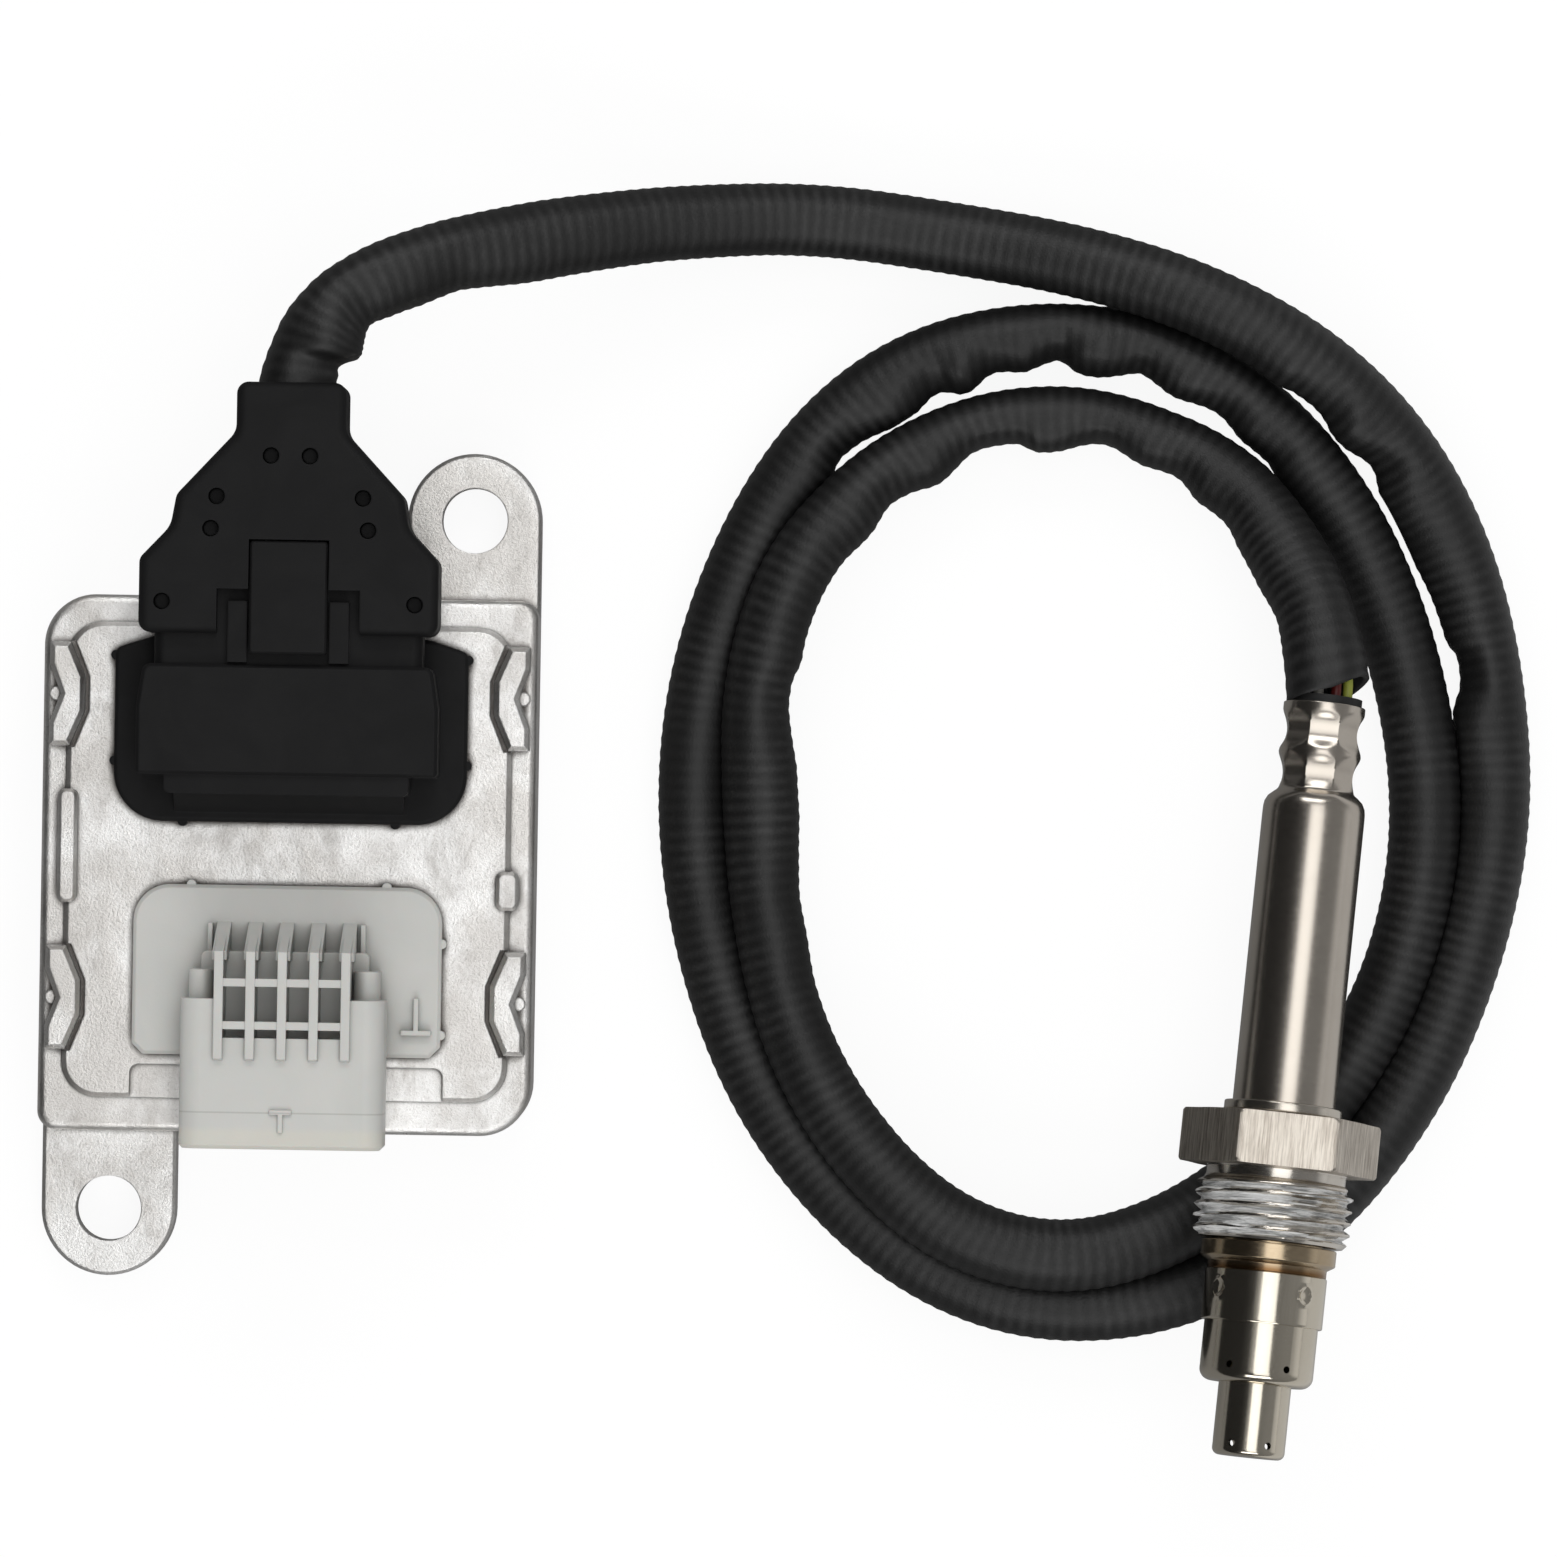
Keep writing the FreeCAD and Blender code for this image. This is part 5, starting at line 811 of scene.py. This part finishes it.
def wipe_paste(radii, stations, angles):
    """Height of the paste over the thread's root, from streaky noise that runs round."""
    made = radii.copy()
    for i in range(radii.shape[0]):
        if radii[i, 0] < 9.0:
            continue
        for j in range(radii.shape[1]):
            spot = Vector((math.cos(angles[i, j]) * 0.9, math.sin(angles[i, j]) * 0.9, stations[i, j] * 1.6))
            streaks = noise.noise(spot) * 0.45 + noise.noise(spot * 2.6) * 0.3
            phase = (stations[i, j] / THREAD_PITCH - angles[i, j] / (2 * math.pi)) % 1.0
            ripple = 0.4 * math.cos(2 * math.pi * (phase - 0.5))
            ends = min(1, (stations[i, j] - PASTE_START) / 0.8, (PASTE_END - stations[i, j]) / 0.5)
            made[i, j] = THREAD_ROOT + max(0, ends) * (0.5 + ripple + 0.6 * streaks)
    return np.clip(made, 9.0, 10.02)


paste_profile = [(8.95, 61.3)] + [(9.4, 61.3 + 0.12 * k) for k in range(60)] + [(8.95, PASTE_END)]
turned("thread_paste", paste_profile, paste, around=240, body="gland_nut", shape=wipe_paste)


# Metal shell
# Turned stainless body inside the nut. Its sealing seat and collar show in front of the
# thread, tinted straw and bronze by the heat of the weld.
tint, tree, shader, tone = stainless("stainless_heat_tinted", "#a5937a", "#bfae93", 0.14, 0.24,
                                     (0.3, 0.3, 1.0), 0.15)
places = add_node(tree, "TexCoord").outputs["Object"]
station = add_node(tree, "SeparateXYZ", {}, {0: places})
cooled = add_node(tree, "MapRange", {"From Min": 0.0713, "From Max": 0.0722},
                  {"Value": station.outputs["Z"]})
band = add_node(tree, "Mix", {"data_type": "RGBA", 7: linear("#7d5f40")},
                {0: cooled.outputs[0], 6: tone.outputs[2]})
tree.links.new(band.outputs[2], shader.inputs["Base Color"])
shell_profile = [(4.6, 44.0, 0.1), (6.0, 44.0, 0.2), (6.0, 52.4, 0), (6.75, 52.4, 0.1),
                 (6.75, 68.9, 0), (8.55, 68.9, 0.2), (8.55, 70.9, 0.25), (7.55, 71.5, 0.15),
                 (7.55, 72.5, 0.15), (7.2, 72.5, 0), (7.2, 75.5, 0.1), (3.2, 75.5, 0.1),
                 (3.2, 65.0, 0), (4.6, 63.0, 0)]
metal_shell = turned("metal_shell_turned", broken(shell_profile), tint)
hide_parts("metal_shell")


# Carrier tube and the two protection tubes
# Thin stainless cups, deep-drawn, so they are bright with faint lines along them. The carrier
# is spot-welded to the shell, and each weld leaves a raised ring round a rough dimple.
CARRIER_R = 7.7
WELD_PLACES = (51.9, 141.9, 231.9, 321.9)
WELD_STATION = 75.0
cup_steel = stainless("stainless_deep_drawn", "#c9c1b1", "#d8d1c3", 0.1, 0.17, (1.0, 1.0, 0.08), 0.12)[0]


def weld_spots(radii, stations, angles):
    """Four spot welds round the carrier, on its outer face."""
    made = radii.copy()
    for place in WELD_PLACES:
        across = ((angles - math.radians(place) + math.pi) % (2 * math.pi) - math.pi) * CARRIER_R
        away = np.sqrt((across / 1.1) ** 2 + ((stations - WELD_STATION) / 1.25) ** 2)
        ring = 0.16 * np.exp(-((away - 0.95) / 0.2) ** 2)
        dimple = -0.2 * np.exp(-(away / 0.66) ** 4)
        made = np.where(radii > 7.65, made + ring + dimple, made)
    return made


carrier_profile = [(7.2, 72.5), (7.58, 72.5), (CARRIER_R, 72.62)]
carrier_profile += [(CARRIER_R, 72.8 + 0.15 * k) for k in range(40)]
carrier_profile += [(CARRIER_R, 78.82), (7.62, 78.95), (7.5, 79.0), (7.2, 79.0)]
carrier = turned("carrier_tube_welded", carrier_profile, cup_steel, around=256, shape=weld_spots)
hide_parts("carrier_tube")
dress(cup_steel, "outer_protection_tube", "inner_protection_tube")


# Wire grommet and leads
# Fluoro-rubber plug, gripped by the crimps, with a hole for each lead. The eight leads have
# extruded silicone insulation and cross the short gap between the cable's end and the plug.
rubber, tree, shader = new_finish("fluoro_rubber_moulded", Roughness=0.55, IOR=1.4)
places = add_node(tree, "TexCoord").outputs["Object"]
bloom = add_node(tree, "TexNoise", {"Scale": 1000 / 1.0, "Detail": 4.0}, {"Vector": places})
tone = add_node(tree, "Mix", {"data_type": "RGBA", 6: linear("#131313"), 7: linear("#222222")},
                {0: bloom.outputs[0]})
tree.links.new(tone.outputs[2], shader.inputs["Base Color"])
dress(rubber, "wire_grommet")

to_probe = probe_frame.inverted()
cable_end = to_probe @ Vector([value / 1000 for value in CABLE_ROUTE[-1]])
cable_run = (cable_end - to_probe @ Vector([value / 1000 for value in CABLE_ROUTE[-2]])).normalized()
lean = Vector((0, 0, 1)).rotation_difference(cable_run)
LEAD_R = 0.00065
LEAD_RING = 0.0029
LEAD_KINDS = (
    ("lead_yellow_green", (0,), "#a8b04a", "lead_wires_green", "lead_green"),
    ("lead_red", (1,), "#5e1512", "lead_wires_red", "lead_red"),
    ("leads_white", (2, 3, 4), "#8f8d86", "lead_wires_white", "lead_white"),
    ("leads_grey", (5, 6, 7), "#4a4b4c", "lead_wires_grey", "lead_grey"),
)
for name, places_round, colour, node_name, slot_name in LEAD_KINDS:
    insulation, tree, shader = new_finish("silicone_extruded_" + name, Roughness=0.42, IOR=1.43)
    places = add_node(tree, "TexCoord").outputs["Object"]
    draw = add_node(tree, "TexNoise", {"Scale": 1000 / 0.8, "Detail": 3.0}, {"Vector": places})
    dim = add_node(tree, "MapRange", {"To Min": 0.82, "To Max": 1.08}, {"Value": draw.outputs[0]})
    shade = add_node(tree, "VectorMath", {"operation": "SCALE", 0: linear(colour)[:3]},
                     {"Scale": dim.outputs[0]})
    tree.links.new(shade.outputs[0], shader.inputs["Base Color"])
    curve = bpy.data.curves.new(name, "CURVE")
    curve.dimensions = "3D"
    curve.bevel_depth = LEAD_R
    curve.bevel_resolution = 5
    curve.resolution_u = 10
    curve.use_fill_caps = True
    for i in places_round:
        angle = (i + 0.5) * math.pi / 4
        spot = Vector((math.cos(angle), math.sin(angle), 0)) * LEAD_RING
        start = cable_end + lean @ spot
        stops = [start - cable_run * 0.0035, start]
        stops += [spot + Vector((0, 0, deep)) for deep in (-0.001, 0.002, 0.0158)]
        lay_spline(curve, stops)
    curve.materials.append(insulation)
    lead = bpy.data.objects.new(name, curve)
    bpy.context.scene.collection.objects.link(lead)
    lead.matrix_world = probe_frame
    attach(lead, "root")
    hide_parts(node_name)

PLUG_X = 0.3
PLUG_Z = 23.4
PLUG_RING = 2.9
curve = bpy.data.curves.new("plug_leads", "CURVE")
curve.dimensions = "3D"
curve.bevel_depth = LEAD_R
curve.bevel_resolution = 5
curve.resolution_u = 12
curve.use_fill_caps = True
for row in (-1, 1):
    for side_way, column in ((-1, -9.0), (-1, -3.0), (1, 3.0), (1, 9.0)):
        spread = 2.52 if abs(column) > 5 else 0.72
        lift = row * math.sqrt(PLUG_RING ** 2 - spread ** 2)
        near_x = PLUG_X + column
        end_x = PLUG_X + side_way * spread
        stops = [(near_x, 36.0, PLUG_Z + row * 1.7), (near_x, 39.0, PLUG_Z + row * 1.7),
                 (end_x + 0.35 * (near_x - end_x), 47.0, PLUG_Z + row * 2.2),
                 (end_x, 53.0, PLUG_Z + lift), (end_x, 57.6, PLUG_Z + lift)]
        lay_spline(curve, [[value / 1000 for value in stop] for stop in stops])
curve.materials.append(bpy.data.materials["silicone_extruded_leads_grey"])
inner_leads = bpy.data.objects.new("plug_leads_bundle", curve)
bpy.context.scene.collection.objects.link(inner_leads)
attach(inner_leads, "root")
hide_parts("plug_leads")


# Ceramic parts of the probe
# The sensing element and its insulators are sintered oxide ceramics, off-white and dead matt;
# the packing between them is pressed talc. The housing closes them in.
ceramic, tree, shader = new_finish("alumina_sintered", Roughness=0.7, IOR=1.76)
places = add_node(tree, "TexCoord").outputs["Object"]
pores = add_node(tree, "TexNoise", {"Scale": 1000 / 0.4, "Detail": 3.0}, {"Vector": places})
tone = add_node(tree, "Mix", {"data_type": "RGBA", 6: linear("#e3e0d6"), 7: linear("#efece4")},
                {0: pores.outputs[0]})
tree.links.new(tone.outputs[2], shader.inputs["Base Color"])
dress(ceramic, "contact_holder", "rear_insulator", "front_insulator", "talc_packing", "sensing_element")
